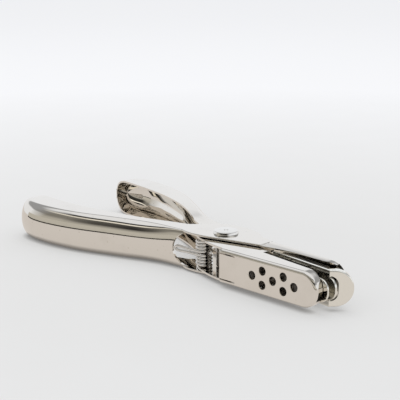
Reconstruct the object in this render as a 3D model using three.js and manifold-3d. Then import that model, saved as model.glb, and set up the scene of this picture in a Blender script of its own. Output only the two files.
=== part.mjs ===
// A plier-type hand punch with a seven-hole pattern, pressed from nickel-plated sheet steel.
// Units are millimetres. The pivot axis is the Z axis, the tool lies on the plane z = 0,
// and the near jaw points along +X. The levers stand open, as the spring holds them.

import * as THREE from 'three';
import { mergeVertices } from 'three/addons/utils/BufferGeometryUtils.js';
import Module from 'manifold-3d';

const wasm = await Module();
wasm.setup();

// ---- Driving dimensions -------------------------------------------------------------

const SHEET = 0.8;            // thickness of the pressed steel of both levers
const JAW_HEIGHT = 12.7;      // outside height of the inner lever at its jaw and pivot
const HANDLE_HEIGHT = 16;     // outside height of both handles
const NEST_GAP = 0.3;         // running gap between the plates of the two levers
const FIT_GAP = 0.3;          // gap between a piece and what holds it
const SEAT_GAP = 0.1;         // between the pieces of the pin pack and under rivet heads
const OVERLAP = 0.2;          // how far solids of one piece run into each other to join

const JAW_FACE_Y = -14.5;     // outer face of the near jaw's web
const JAW_BEND = 1.3;         // outer radius of the bends along the near jaw
const TONGUE_X = 10.4;        // where the near jaw's web begins
const SLIT_END = 18;          // where the slits end, and the web joins the flanges
const SLIT = 0.5;             // width of the slits between tongue and flanges
const JAW_NOSE_X = 54.3;      // tip of the near jaw
const NOSE_NOTCH = 3.4;       // height of the notch in the near jaw's nose wall

const THROAT_TILT = THREE.MathUtils.degToRad(8.2);   // the throat's angle to the near jaw's web
const THROAT_NEAR = -3.1;     // distance from the pivot to the near flange's throat edge
const THROAT_FAR = 0.6;       // distance from the pivot to the guide plate's throat face
const THROAT_BACK = 25;       // how far from the pivot the throat ends
const DIE_PROUD = 0.9;        // how far the die plate stands out of the near jaw
const DIE_THICKNESS = 2.8;
const TAB_THICKNESS = 0.7;    // of the die plate's tab, which passes the nose wall
const GUIDE_THICKNESS = 0.9;
const PLATE_TAIL = 18;        // where the die and guide plates begin behind the throat
const PLATE_END = 54.6;       // where their full height ends, measured along the throat
const TAB_LENGTH = 2.8;       // the rounded tabs at the nose
const TAB_HEIGHT = 8.2;
const LIP_ANGLE = THREE.MathUtils.degToRad(53);      // how far the lip flares from the guide plate
const LIP_STRAIGHT = 2;       // flat part of the lip before its round end
const LIP_RIM = 1.6;          // depth of the rim round the lip

const PIN_DIAMETER = 3.1;
const PIN_HEAD = 4;           // diameter of the pin heads
const PIN_HEAD_HEIGHT = 0.5;
const PIN_CLEARANCE = 0.1;    // between a pin and its bores, all round
const COLUMN_PITCH = 4.65;    // between the columns of the hole pattern
const PAIR_RISE = 2.54;       // of the paired holes above and below the middle
const PATTERN_CENTRE = 37.2;  // from the pivot, along the throat
const PIN_RECESS = 0.1;       // of the pin tips in the guide plate while open
const STROKE = 3.3;           // travel of the pin pack
const CARRIER_THICKNESS = 0.9;
const BACKING_THICKNESS = 0.6;
const CARRIER_LENGTH = 23.6;
const CARRIER_HEIGHT = 10.4;

const FAR_WEB_TILT = THREE.MathUtils.degToRad(5.3);  // the far jaw's web, against the X axis
const FAR_WEB_GAP = 0.95;     // between the pin pack and the far jaw at the pattern's centre
const FAR_BEND = 2.2;         // outer radius of the bends along the far jaw
const FAR_NOSE_REACH = 55.5;  // tip of the far jaw, from the pivot
const FAR_WEB_X = 12;         // where the far jaw's web begins
const FAR_NOSE_CORNER = 6.3;  // radius of the far jaw's nose corners

const RIVET_SHANK = 5;        // diameters of the pivot rivet's shank and upper head
const RIVET_HEAD = 9.6;
const RIVET_FOOT = 8.6;       // and of its lower head
const RIVET_DOME = 1.1;       // height of the domed upper head
const RIVET_DIMPLE = 0.45;
const BUSH_WALL = 0.9;

const SPRING_X = -5.9;        // the spring stands beside the pivot
const SPRING_Y = -5.6;
const SPRING_RADIUS = 2.75;   // of the wire's centre line
const SPRING_WIRE = 1.15;
const SPRING_TURNS = 3;       // whole turns of each coil
const SPRING_PLAY = 0.12;     // between the coils and the inner lever's plates
const SPRING_ROOM = 0.05;     // between the two coils, from the middle plane
const SPRING_LEG_ANGLE = THREE.MathUtils.degToRad(45.7); // where the outer legs leave the coils
const SPRING_LEG = 22.5;      // each outer leg, which lies against the far handle
const SPRING_LOOP = 11.4;     // the middle loop, which lies against the near handle
const POST_DIAMETER = 3.4;

const HANDLE_BACK = 4;        // depth of the handles' rounded backs
const NECK_BACK = 1.8;        // and of the same backs where a handle leaves the pivot
const NEAR_TIP_BACK = 4.7;    // and of the near handle's back towards its tip
const FAR_TIP_BACK = 5;       // and of the far handle's
const NEAR_TIP = 0.07;        // share of the near handle's run over which its tip closes
const FAR_TIP = 0.13;         // and of the far handle's
const TIP_BLUNTNESS = 0.3;    // height that is left at the very tip, as a share of the whole
const FAR_HANDLE_EXTRA = 7;    // how much longer the far handle is than the near one
const HANDLE_RUN = 96;        // length of a handle from its first ring to its tip
const BACK_STEPS = 12;
const SYMMETRY_TILT = THREE.MathUtils.degToRad(5.4); // of the line that the handles mirror in

// ---- Worked-out places -----------------------------------------------------------------

const MID = HANDLE_HEIGHT / 2;                        // height of the tool's middle plane
const INNER_OUT = JAW_HEIGHT / 2;                     // inner lever's plates, from the middle
const INNER_IN = INNER_OUT - SHEET;
const OUTER_IN = INNER_OUT + NEST_GAP;                // outer lever's plates, from the middle
const OUTER_OUT = OUTER_IN + SHEET;
const DIE_FACE = THROAT_NEAR + DIE_PROUD;             // die plate's throat face
const GUIDE_BACK = THROAT_FAR + GUIDE_THICKNESS;
const CARRIER_FACE = GUIDE_BACK + FIT_GAP + STROKE;   // pin carrier, open
const BACKING_FACE = CARRIER_FACE + CARRIER_THICKNESS;
const BACKING_BACK = BACKING_FACE + BACKING_THICKNESS;
const FAR_WEB_IN = BACKING_BACK + FAR_WEB_GAP;        // at the pattern's centre
const PLATE_HEIGHT = 2 * (INNER_IN - FIT_GAP);        // pieces held between the inner plates

// ---- Solids ------------------------------------------------------------------------------

/** Turns a closed three.js geometry into a manifold solid, on a grid of a thousandth of a millimetre. */
function solid(geometry) {
  const bare = geometry.index ? geometry.toNonIndexed() : geometry.clone();
  bare.deleteAttribute('normal');
  bare.deleteAttribute('uv');
  const position = bare.attributes.position;
  position.array.forEach((value, i) => {
    position.array[i] = Math.round(value * 1000) / 1000;
  });
  const merged = mergeVertices(bare, 1e-4);
  const mesh = new wasm.Mesh({
    numProp: 3,
    vertProperties: new Float32Array(merged.attributes.position.array),
    triVerts: new Uint32Array(merged.index.array),
  });
  return new wasm.Manifold(mesh);
}

/** Turns a manifold solid back into a three.js geometry. */
function geometryOf(body) {
  const mesh = body.getMesh();
  const geometry = new THREE.BufferGeometry();
  geometry.setAttribute('position', new THREE.BufferAttribute(mesh.vertProperties, 3));
  geometry.setIndex(new THREE.BufferAttribute(mesh.triVerts, 1));
  geometry.computeVertexNormals();
  return geometry;
}

/** Joins solids, or cuts the later ones from the first. */
const join = (first, ...rest) => rest.reduce((body, next) => body.add(next), first);
const cut = (first, ...rest) => rest.reduce((body, next) => body.subtract(next), first);
const common = (first, ...rest) => rest.reduce((body, next) => body.intersect(next), first);

/** A shape in the XY plane, extruded from z = low to z = high. */
function prismZ(shape, low, high, curveSegments = 12) {
  const geometry = new THREE.ExtrudeGeometry(shape, {
    depth: high - low, bevelEnabled: false, curveSegments,
  });
  return geometry.translate(0, 0, low);
}

/** A shape drawn in X and height, extruded from y = low to y = high. */
function prismY(shape, low, high, curveSegments = 12) {
  return prismZ(shape, -high, -low, curveSegments).rotateX(Math.PI / 2);
}

/** A shape drawn in Y and height, extruded from x = low to x = high. */
function prismX(shape, low, high, curveSegments = 12) {
  return prismZ(shape, low, high, curveSegments).rotateY(Math.PI / 2).rotateX(Math.PI / 2);
}

/** A closed outline through points [x, y]. */
const outline = (points) => new THREE.Shape(points.map(([x, y]) => new THREE.Vector2(x, y)));

/** A rectangle with a radius of its own at the corners of its right and left ends. */
function roundedBar(x0, x1, y0, y1, right, left = 0) {
  const shape = new THREE.Shape();
  shape.moveTo(x0 + left, y0);
  shape.lineTo(x1 - right, y0);
  if (right > 0) shape.absarc(x1 - right, y0 + right, right, -Math.PI / 2, 0);
  shape.lineTo(x1, y1 - right);
  if (right > 0) shape.absarc(x1 - right, y1 - right, right, 0, Math.PI / 2);
  shape.lineTo(x0 + left, y1);
  if (left > 0) shape.absarc(x0 + left, y1 - left, left, Math.PI / 2, Math.PI);
  shape.lineTo(x0, y0 + left);
  if (left > 0) shape.absarc(x0 + left, y0 + left, left, Math.PI, 1.5 * Math.PI);
  return shape;
}

/** A cylinder along Z from low to high. */
function cylinderZ(radius, low, high, sides = 32) {
  return new THREE.CylinderGeometry(radius, radius, high - low, sides)
    .rotateX(Math.PI / 2).translate(0, 0, (low + high) / 2);
}

/** A body of revolution about Z from a profile of [radius, z] that starts and ends on the axis. */
function latheZ(profile, sides = 32) {
  const points = profile.map(([r, z]) => new THREE.Vector2(r, z));
  return new THREE.LatheGeometry(points, sides).rotateX(Math.PI / 2);
}

/**
 * Moves a solid from the throat's own frame into the tool's frame. In the throat's frame
 * x runs along the throat away from the pivot, y runs across it towards the far jaw, and z is
 * the height above the tool's middle plane.
 */
const fromThroat = (body) =>
  body.rotate([0, 0, -THREE.MathUtils.radToDeg(THROAT_TILT)]).translate([0, 0, MID]);

/** A cylinder across the throat at (along, height), in the throat's frame. */
function pegAcross(radius, along, height, low, high, sides = 16) {
  return solid(new THREE.CylinderGeometry(radius, radius, high - low, sides)
    .translate(along, (low + high) / 2, height));
}

/** A smooth curve through points [x, y] in the plane of the tool. */
function planCurve(points) {
  return new THREE.CatmullRomCurve3(points.map(([x, y]) => new THREE.Vector3(x, y, 0)));
}

// ---- Places of the punch pattern ------------------------------------------------------------

/** The seven places of the pattern: along the throat, and height from the middle plane. */
const PATTERN = [-2, -1, 0, 1, 2].flatMap((column) => {
  const along = PATTERN_CENTRE + column * COLUMN_PITCH;
  const paired = Math.abs(column) === 1;
  return paired ? [[along, PAIR_RISE], [along, -PAIR_RISE]] : [[along, 0]];
});

/** The two rivets that hold the throat together, and the two that hold the pin pack. */
const GUIDE_RIVET_ALONG = (PLATE_TAIL + THROAT_BACK) / 2;
const GUIDE_RIVET_RISE = 2.9;
const GUIDE_RIVET = 2.4;
const GUIDE_RIVET_HEAD = 3.8;
const GUIDE_RIVET_HEAD_HEIGHT = 0.5;
const PACK_RIVET_REACH = 2 * COLUMN_PITCH;
const PACK_RIVET_RISE = 3.6;
const PACK_RIVET = 1.4;
const PACK_RIVET_HEAD = 2.3;
const PACK_RIVET_HEAD_HEIGHT = 0.15;
const STUD = 1.8;
const STUD_HEAD = 4;
const STUD_HEAD_HEIGHT = 0.6;

/** Seven pegs of the pattern, in the throat's frame, to drill a plate with. */
const patternPegs = (radius, low, high) =>
  PATTERN.map(([along, height]) => pegAcross(radius, along, height, low, high));

// ---- Handles ------------------------------------------------------------------------------------

/**
 * One ring of a handle: flat cheeks from the open side at `inner`, closed by a half ellipse
 * that is `back` deep at the outer face.
 */
function handleRing(inner, outer, height, back) {
  const across = outer.clone().sub(inner);
  const width = across.length();
  across.normalize();
  const reach = Math.min(back, width * 0.92);
  const profile = [[0, -height / 2]];
  for (let step = 0; step <= BACK_STEPS; step += 1) {
    const turn = (step / BACK_STEPS - 0.5) * Math.PI;
    profile.push([width - reach + reach * Math.cos(turn), height / 2 * Math.sin(turn)]);
  }
  profile.push([0, height / 2]);
  return profile.map(([w, z]) =>
    new THREE.Vector3(inner.x + across.x * w, inner.y + across.y * w, MID + z));
}

/** Skins a row of rings that all have as many points into one closed body. */
function loft(rings) {
  const count = rings[0].length;
  const positions = rings.flat().flatMap((p) => [p.x, p.y, p.z]);
  const index = [];
  for (let row = 0; row + 1 < rings.length; row += 1) {
    for (let i = 0; i < count; i += 1) {
      const j = (i + 1) % count;
      const a = row * count + i;
      const b = row * count + j;
      index.push(a, b, b + count, a, b + count, a + count);
    }
  }
  const last = (rings.length - 1) * count;
  for (let i = 1; i + 1 < count; i += 1) {
    index.push(0, i + 1, i, last, last + i, last + i + 1);
  }
  const geometry = new THREE.BufferGeometry();
  geometry.setAttribute('position', new THREE.Float32BufferAttribute(positions, 3));
  geometry.setIndex(index);
  return geometry;
}

/** The long edges of a handle, from the pivot to the tip: the outer face and the open side. */
const HANDLE_OUTER = planCurve([
  [-9, -9.4], [-18, -10.4], [-25, -11.8], [-32, -14], [-40, -17], [-49, -20.2], [-57, -23],
  [-65, -25.3], [-74, -27], [-82, -27.8], [-89, -27.6], [-96, -25.8], [-101.5, -21.5],
]);
const HANDLE_OPEN = planCurve([
  [-9, -0.5], [-18, -1], [-25, -2.8], [-32, -5.6], [-40, -8.3], [-49, -10.4], [-57, -11.8],
  [-65, -12.8], [-74, -13.4], [-82, -13.5], [-89, -13.3], [-96, -13], [-102.5, -13.4],
]);
const HANDLE_STATIONS = 26;
const HANDLE_SWELL = [0.1, 0.45]; // shares of its run over which a handle grows to full height
const BACK_SWELL = [0, 0.3];      // and over which its back grows to its usual depth
const BACK_FULL = [0.5, 0.85];    // and over which the back then grows to its depth at the tip
const DRAWN_OUT = [0.55, 1];      // and over which the longer handle gains its extra length

/**
 * The body of a handle, made smaller all round by `inset` and cut open on its inner side. Its
 * outer half is drawn out by `extra` towards the tip, which closes over the share `tip` of the run
 * and whose back is `tipBack` deep.
 */
function handleBody(startHeight, inset, { extra, tip, tipBack }) {
  const rings = [];
  for (let station = 0; station <= HANDLE_STATIONS; station += 1) {
    const run = Math.sin(station / HANDLE_STATIONS * Math.PI / 2);
    const place = inset > 0 ? run * (1 - inset / HANDLE_RUN) : run;
    const outer = HANDLE_OUTER.getPoint(place);
    const open = HANDLE_OPEN.getPoint(place);
    const drawn = extra * THREE.MathUtils.smoothstep(run, ...DRAWN_OUT);
    outer.x -= drawn;
    open.x -= drawn;
    const swell = THREE.MathUtils.smoothstep(run, ...HANDLE_SWELL);
    const closing = Math.max(0, (run - 1 + tip) / tip);
    const close = Math.max(TIP_BLUNTNESS, Math.sqrt(1 - closing * closing));
    const height = THREE.MathUtils.lerp(startHeight, HANDLE_HEIGHT, swell) * close - 2 * inset;
    const across = outer.clone().sub(open);
    const width = across.length();
    across.normalize();
    outer.addScaledVector(across, -width * (1 - close) * 0.3 - inset);
    open.addScaledVector(across, inset > 0 ? -3 : width * (1 - close) * 0.1);
    const usual = THREE.MathUtils.lerp(
      NECK_BACK, HANDLE_BACK, THREE.MathUtils.smoothstep(run, ...BACK_SWELL),
    );
    const back = THREE.MathUtils.lerp(usual, tipBack, THREE.MathUtils.smoothstep(run, ...BACK_FULL));
    rings.push(handleRing(open, outer, Math.max(height, 1), back - inset));
  }
  return solid(loft(rings));
}

const WINDOW_X = -11.4;           // middle of the arch of a handle's window
const WINDOW_REACH = 7;           // how far the arch reaches from there towards the tip
const WINDOW_DEPTH = [-16, -6];   // the Y between which the window is cut

/** The window that frees the end of a handle's web, as a cutter along Y. */
function handleWindow(halfHeight) {
  const low = MID - halfHeight;
  const high = MID + halfHeight;
  const arch = new THREE.Shape();
  arch.absellipse(WINDOW_X, MID, WINDOW_REACH, halfHeight, 0, 2 * Math.PI);
  const rest = outline([[WINDOW_X, low], [0, low], [0, high], [WINDOW_X, high]]);
  return join(
    solid(prismY(arch, ...WINDOW_DEPTH, 16)),
    solid(prismY(rest, ...WINDOW_DEPTH)),
  );
}

/** The near handle of the outer lever, or the like shell that the far handle mirrors. */
function handleShell(startHalfHeight, end) {
  const body = (inset) => handleBody(2 * startHalfHeight, inset, end);
  const shell = cut(body(0), body(SHEET));
  return cut(shell, handleWindow(startHalfHeight - SHEET));
}

/** Mirrors a solid in the upright plane through the pivot that the two handles share. */
function mirrored(body) {
  const normal = [Math.sin(SYMMETRY_TILT), Math.cos(SYMMETRY_TILT), 0];
  return body.mirror(normal);
}

// ---- Plates and jaws -------------------------------------------------------------------------------

/** The two plates of a lever, upper and lower, between two distances from the middle plane. */
function plates(shape, inside, outside) {
  return join(
    solid(prismZ(shape, MID + inside, MID + outside, 8)),
    solid(prismZ(shape, MID - outside, MID - inside, 8)),
  );
}

/** A place in the throat's frame, given in the tool's frame. */
function throatPoint(along, across) {
  const cos = Math.cos(THROAT_TILT);
  const sin = Math.sin(THROAT_TILT);
  return [along * cos + across * sin, -along * sin + across * cos];
}

/** A closed outline whose listed points are joined by a smooth curve, then by straight lines. */
function curvedOutline(curved, straight) {
  const shape = new THREE.Shape();
  shape.moveTo(...curved[0]);
  shape.splineThru(curved.slice(1).map(([x, y]) => new THREE.Vector2(x, y)));
  straight.forEach(([x, y]) => shape.lineTo(x, y));
  return shape;
}

/** A long bar along X with rounded edges on the side of its web, made smaller by `inset`. */
function channelSection(webY, openY, halfHeight, bend, inset) {
  const side = Math.sign(openY - webY);
  const face = webY + side * inset;
  const radius = Math.max(bend - inset, 0.3);
  const half = halfHeight - inset;
  const shape = new THREE.Shape();
  shape.moveTo(openY, MID - half);
  shape.lineTo(face + side * radius, MID - half);
  const turn = side > 0 ? [1.5 * Math.PI, Math.PI, true] : [-Math.PI / 2, 0, false];
  shape.absarc(face + side * radius, MID - half + radius, radius, ...turn);
  shape.lineTo(face, MID + half - radius);
  const back = side > 0 ? [Math.PI, Math.PI / 2, true] : [0, Math.PI / 2, false];
  shape.absarc(face + side * radius, MID + half - radius, radius, ...back);
  shape.lineTo(openY, MID + half);
  return shape;
}

/** The near jaw: web, flanges and nose wall, as one pressed tray that opens on the throat. */
function nearJaw() {
  const tray = (inset, open) => {
    const half = INNER_OUT - inset;
    const tip = JAW_NOSE_X - inset;
    const plan = outline([
      [TONGUE_X - (inset > 0 ? 1 : 0), JAW_FACE_Y + inset], [tip, JAW_FACE_Y + inset],
      throatPoint(JAW_NOSE_X + 2, THROAT_NEAR + open), throatPoint(TONGUE_X + 3, THROAT_NEAR + open),
    ]);
    return common(
      solid(prismZ(plan, MID - half, MID + half)),
      solid(prismY(roundedBar(0, tip, MID - half, MID + half, half - 0.15), -30, 10)),
      solid(prismX(channelSection(JAW_FACE_Y, 10, INNER_OUT, JAW_BEND, inset), 0, 70, 5)),
    );
  };
  const slitAt = (side) => {
    const middle = MID + side * (INNER_OUT - JAW_BEND - SLIT / 2);
    const slit = roundedBar(0, SLIT_END, middle - SLIT / 2, middle + SLIT / 2, SLIT / 2 - 0.01);
    return solid(prismY(slit, JAW_FACE_Y - 1, JAW_FACE_Y + JAW_BEND, 3));
  };
  const notch = solid(prismY(outline([
    [JAW_NOSE_X - 4, MID - NOSE_NOTCH], [JAW_NOSE_X + 1, MID - NOSE_NOTCH],
    [JAW_NOSE_X + 1, MID], [JAW_NOSE_X - 4, MID],
  ]), JAW_FACE_Y + JAW_BEND, 0));
  return cut(tray(0, 0), tray(SHEET, 6), slitAt(1), slitAt(-1), notch);
}

/** The outline of the inner lever's plates round the pivot. */
function innerPlateShape() {
  return curvedOutline([
    [-17, 2.5], [-13, -3], [-5.5, -8.8], [6, -12.4], [SLIT_END, JAW_FACE_Y + JAW_BEND],
  ], [
    throatPoint(THROAT_BACK, THROAT_NEAR - 5), throatPoint(THROAT_BACK, THROAT_NEAR),
    throatPoint(THROAT_BACK, GUIDE_BACK + 0.5), [18, 0.4], [12, 2.4], [6, 6.5], [0, 9.5], [-7, 10.6],
    [-15, 11.4], [-22, 12.6], [-23, 8],
  ]);
}

/** The inner lever: far handle, pivot plates and near jaw. */
function dieLever() {
  const body = join(
    mirrored(handleShell(INNER_OUT, { extra: FAR_HANDLE_EXTRA, tip: FAR_TIP, tipBack: FAR_TIP_BACK })),
    plates(innerPlateShape(), INNER_IN, INNER_OUT),
    nearJaw(),
  );
  const pivotHole = solid(cylinderZ(RIVET_SHANK / 2 + FIT_GAP, -1, HANDLE_HEIGHT + 1));
  const postHole = solid(cylinderZ(POST_DIAMETER / 3 + FIT_GAP / 2, -1, HANDLE_HEIGHT + 1, 20)
    .translate(SPRING_X, SPRING_Y, 0));
  const chipHoles = patternPegs(PIN_DIAMETER / 2, -30, THROAT_NEAR - 3).map(fromThroat);
  return cut(body, pivotHole, postHole, ...chipHoles);
}

/** The far jaw: web and flanges, as a channel that opens on the throat. */
function farJaw() {
  const [x0, y0] = throatPoint(PATTERN_CENTRE, FAR_WEB_IN + SHEET);
  const webY = (x) => y0 - (x - x0) * Math.tan(FAR_WEB_TILT);
  const turned = (geometry) => geometry.rotateZ(-FAR_WEB_TILT).translate(0, webY(0), 0);
  const channel = (inset, extra) => {
    const half = OUTER_OUT - inset;
    const tip = FAR_NOSE_REACH + extra;
    return common(
      solid(turned(prismX(channelSection(0, -20, OUTER_OUT, FAR_BEND, inset), FAR_WEB_X, 70, 6))),
      solid(prismY(roundedBar(0, tip, MID - half, MID + half, FAR_NOSE_CORNER), -30, 30)),
    );
  };
  const edge = curvedOutline([
    [FAR_WEB_X, -4.6], [18, -3.4], [26, -2.2], [35, -1.6], [44, -2.2], [50, -2.2],
    [FAR_NOSE_REACH - 2.5, -0.6], [FAR_NOSE_REACH - 1.1, 2],
  ], [[FAR_NOSE_REACH + 0.5, 3.8], [FAR_NOSE_REACH + 1.5, 3.8], [FAR_NOSE_REACH + 1.5, 12], [FAR_WEB_X, 12]]);
  const arch = new THREE.Shape();
  arch.absellipse(FAR_WEB_X, MID, 5, OUTER_IN, 0, 2 * Math.PI);
  return cut(
    common(channel(0, 0), solid(prismZ(edge, -1, HANDLE_HEIGHT + 1, 8))),
    channel(SHEET, 2),
    solid(prismY(arch, 0, 12, 16)),
  );
}

/** The outer lever: near handle, pivot plates and far jaw. */
function pressLever() {
  const plateShape = curvedOutline([
    [-19, -5.4], [-16, -8], [-12, -9.3], [-4.6, -9.1], [5.7, -6.5], [FAR_WEB_X + 4, -4],
    [FAR_WEB_X + 8, -3],
  ], [[FAR_WEB_X + 8, 3.6], [14, 5.2], [8, 9], [0, 11], [-8, 9.6], [-14, 4.6], [-20, -1.6]]);
  const body = join(
    handleShell(OUTER_OUT, { extra: 0, tip: NEAR_TIP, tipBack: NEAR_TIP_BACK }),
    plates(plateShape, OUTER_IN, OUTER_OUT),
    farJaw(),
  );
  const pivotHole = solid(cylinderZ(RIVET_SHANK / 2 + FIT_GAP / 2, -1, HANDLE_HEIGHT + 1));
  const studSlot = fromThroat(solid(new THREE.BoxGeometry(STUD + 2, 6, STUD + 2 * FIT_GAP)
    .translate(PATTERN_CENTRE, FAR_WEB_IN, 0)));
  return cut(body, pivotHole, studSlot);
}

// ---- Pieces ------------------------------------------------------------------------------------------

function diePlate() {
  const end = PLATE_END - SHEET - 2 * FIT_GAP - 0.3;
  const half = PLATE_HEIGHT / 2;
  const tabHalf = TAB_HEIGHT / 2;
  const inside = THROAT_NEAR - FIT_GAP;
  const body = roundedBar(PLATE_TAIL, end, -half, half, half - 0.2);
  const waist = roundedBar(THROAT_BACK + FIT_GAP, end - 3, -tabHalf, tabHalf, 1);
  const front = roundedBar(THROAT_BACK + FIT_GAP, PLATE_END + TAB_LENGTH, -tabHalf, tabHalf, tabHalf - 0.3);
  const blank = join(
    solid(prismY(body, DIE_FACE - DIE_THICKNESS, inside, 8)),
    solid(prismY(front, DIE_FACE - TAB_THICKNESS, DIE_FACE, 8)),
    solid(prismY(waist, inside - OVERLAP, DIE_FACE - TAB_THICKNESS + OVERLAP, 4)),
  );
  return fromThroat(cut(
    blank,
    ...patternPegs(PIN_DIAMETER / 2 + PIN_CLEARANCE, -9, 0),
    ...guideRivetPegs(-9, 0),
  ));
}

/** Pegs for the holes of the two rivets behind the throat, in the throat's frame. */
const guideRivetPegs = (low, high) => [1, -1].map((side) => pegAcross(
  GUIDE_RIVET / 2 + FIT_GAP / 2, GUIDE_RIVET_ALONG, side * GUIDE_RIVET_RISE, low, high,
));

/** The flared lip at the guide plate's nose: a dish with a rim, and the room its tab leaves. */
function guideLip() {
  const end = LIP_STRAIGHT + INNER_OUT;
  const round = INNER_OUT - 0.1;
  const room = TAB_HEIGHT / 2 + FIT_GAP;
  const start = 0.02;
  const dish = cut(
    solid(prismY(roundedBar(0, end, -INNER_OUT, INNER_OUT, round), start, GUIDE_THICKNESS + LIP_RIM, 10)),
    solid(prismY(
      roundedBar(-1, end - SHEET, -INNER_OUT + SHEET, INNER_OUT - SHEET, round - SHEET),
      GUIDE_THICKNESS, GUIDE_THICKNESS + LIP_RIM + 1, 10,
    )),
    solid(prismY(roundedBar(-1, TAB_LENGTH + FIT_GAP, -room, room, 3), -1, GUIDE_THICKNESS + 1, 6)),
  );
  return dish.rotate([0, 0, THREE.MathUtils.radToDeg(LIP_ANGLE)]).translate([PLATE_END, THROAT_FAR, 0]);
}

function guidePlate() {
  const shoulder = THROAT_BACK + 1;
  const tailHalf = PLATE_HEIGHT / 2;
  const tabHalf = TAB_HEIGHT / 2;
  const strip = (shape) => solid(prismY(shape, THROAT_FAR, GUIDE_BACK, 8));
  const blank = join(
    strip(roundedBar(PLATE_TAIL, shoulder + 1, -tailHalf, tailHalf, 0)),
    strip(roundedBar(shoulder, PLATE_END, -INNER_OUT, INNER_OUT, 0)),
    strip(roundedBar(PLATE_END - 2, PLATE_END + TAB_LENGTH, -tabHalf, tabHalf, tabHalf - 0.3)),
    guideLip(),
  );
  return fromThroat(cut(
    blank,
    ...patternPegs(PIN_DIAMETER / 2 + PIN_CLEARANCE, -1, 4),
    ...guideRivetPegs(-1, 4),
  ));
}

function throatSpacer() {
  const half = PLATE_HEIGHT / 2;
  const block = roundedBar(PLATE_TAIL, THROAT_BACK, -half, half, 0);
  return fromThroat(cut(
    solid(prismY(block, THROAT_NEAR, THROAT_FAR - FIT_GAP)),
    ...guideRivetPegs(-9, 4),
  ));
}

/** A pin across the throat with a head at either end, or at one end where a head has no radius. */
function headedPin({ along, height, radius, low, high, lowHead, lowHeight, highHead, highHeight }) {
  const parts = [pegAcross(radius, along, height, low, high)];
  if (lowHead) parts.push(pegAcross(lowHead, along, height, low, low + lowHeight));
  if (highHead) parts.push(pegAcross(highHead, along, height, high - highHeight, high));
  return fromThroat(join(...parts));
}

function guideRivet(side) {
  const head = GUIDE_RIVET_HEAD / 2;
  const headHeight = GUIDE_RIVET_HEAD_HEIGHT;
  return headedPin({
    along: GUIDE_RIVET_ALONG,
    height: side * GUIDE_RIVET_RISE,
    radius: GUIDE_RIVET / 2,
    low: DIE_FACE - DIE_THICKNESS - SEAT_GAP - headHeight,
    high: GUIDE_BACK + SEAT_GAP + headHeight,
    lowHead: head,
    lowHeight: headHeight,
    highHead: head,
    highHeight: headHeight,
  });
}

function pivotRivet() {
  const shank = RIVET_SHANK / 2;
  const foot = RIVET_FOOT / 2;
  const head = RIVET_HEAD / 2;
  const bottom = MID - OUTER_OUT;
  const top = MID + OUTER_OUT;
  const profile = [[0, 0], [foot, 0], [foot, bottom], [shank, bottom], [shank, top], [head, top]];
  const steps = 6;
  for (let step = 0; step <= steps; step += 1) {
    const reach = (1 - step / steps) * (head - 0.9) + 0.75;
    profile.push([reach, top + RIVET_DOME * Math.sqrt(1 - (reach / (head + 0.1)) ** 2)]);
  }
  profile.push([0, top + RIVET_DOME - RIVET_DIMPLE]);
  return solid(latheZ(profile, 28));
}

function pivotBush() {
  const bore = RIVET_SHANK / 2 + FIT_GAP;
  const half = PLATE_HEIGHT / 2;
  return cut(
    solid(cylinderZ(bore + BUSH_WALL, MID - half, MID + half)),
    solid(cylinderZ(bore, MID - half - 1, MID + half + 1)),
  );
}

function springPost() {
  const half = PLATE_HEIGHT / 2;
  const body = join(
    solid(cylinderZ(POST_DIAMETER / 2, MID - half, MID + half, 20)),
    solid(cylinderZ(POST_DIAMETER / 3, MID - INNER_OUT, MID + INNER_OUT, 20)),
  );
  return body.translate([SPRING_X, SPRING_Y, 0]);
}

/**
 * The double torsion spring: two coils that mirror each other in the middle plane, a loop
 * between them that lies against the near handle, and an outer leg on each coil.
 */
function torsionSpring() {
  const sweep = SPRING_LEG_ANGLE + Math.PI / 2 + SPRING_TURNS * 2 * Math.PI;
  const turned = sweep / (2 * Math.PI);
  const room = INNER_IN - SPRING_PLAY - SPRING_WIRE / 2 - SPRING_ROOM;
  const pitch = room / (turned + 0.5);
  const rise = turned * pitch;
  const loopHalf = pitch / 2 + SPRING_ROOM;
  const lower = [];
  const [cos, sin] = [Math.cos(SPRING_LEG_ANGLE), Math.sin(SPRING_LEG_ANGLE)];
  for (const share of [1, 0.66, 0.33]) {
    const reach = share * SPRING_LEG;
    lower.push([
      cos * SPRING_RADIUS - sin * reach, sin * SPRING_RADIUS + cos * reach, -loopHalf - rise,
    ]);
  }
  const turns = 40;
  for (let step = 0; step <= turns; step += 1) {
    const angle = SPRING_LEG_ANGLE - step / turns * sweep;
    lower.push([
      Math.cos(angle) * SPRING_RADIUS, Math.sin(angle) * SPRING_RADIUS,
      -loopHalf - rise * (1 - step / turns),
    ]);
  }
  lower.push([-SPRING_LOOP / 2, -SPRING_RADIUS - 0.35, -loopHalf]);
  lower.push([-SPRING_LOOP, -SPRING_RADIUS - 0.75, -loopHalf]);
  const bend = [-SPRING_LOOP - loopHalf, -SPRING_RADIUS - 0.8, 0];
  const upper = lower.map(([x, y, z]) => [x, y, -z]).reverse();
  const path = new THREE.CatmullRomCurve3([...lower, bend, ...upper]
    .map(([x, y, z]) => new THREE.Vector3(SPRING_X + x, SPRING_Y + y, MID + z)), false, 'centripetal');
  const section = new THREE.Shape();
  section.absarc(0, 0, SPRING_WIRE / 2, 0, 2 * Math.PI);
  return solid(new THREE.ExtrudeGeometry(section, { steps: 150, curveSegments: 3, extrudePath: path }));
}

/** The outline of the pin pack's two plates. */
const packOutline = () => roundedBar(
  PATTERN_CENTRE - CARRIER_LENGTH / 2, PATTERN_CENTRE + CARRIER_LENGTH / 2,
  -CARRIER_HEIGHT / 2, CARRIER_HEIGHT / 2, 1.6, 1.6,
);

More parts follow.
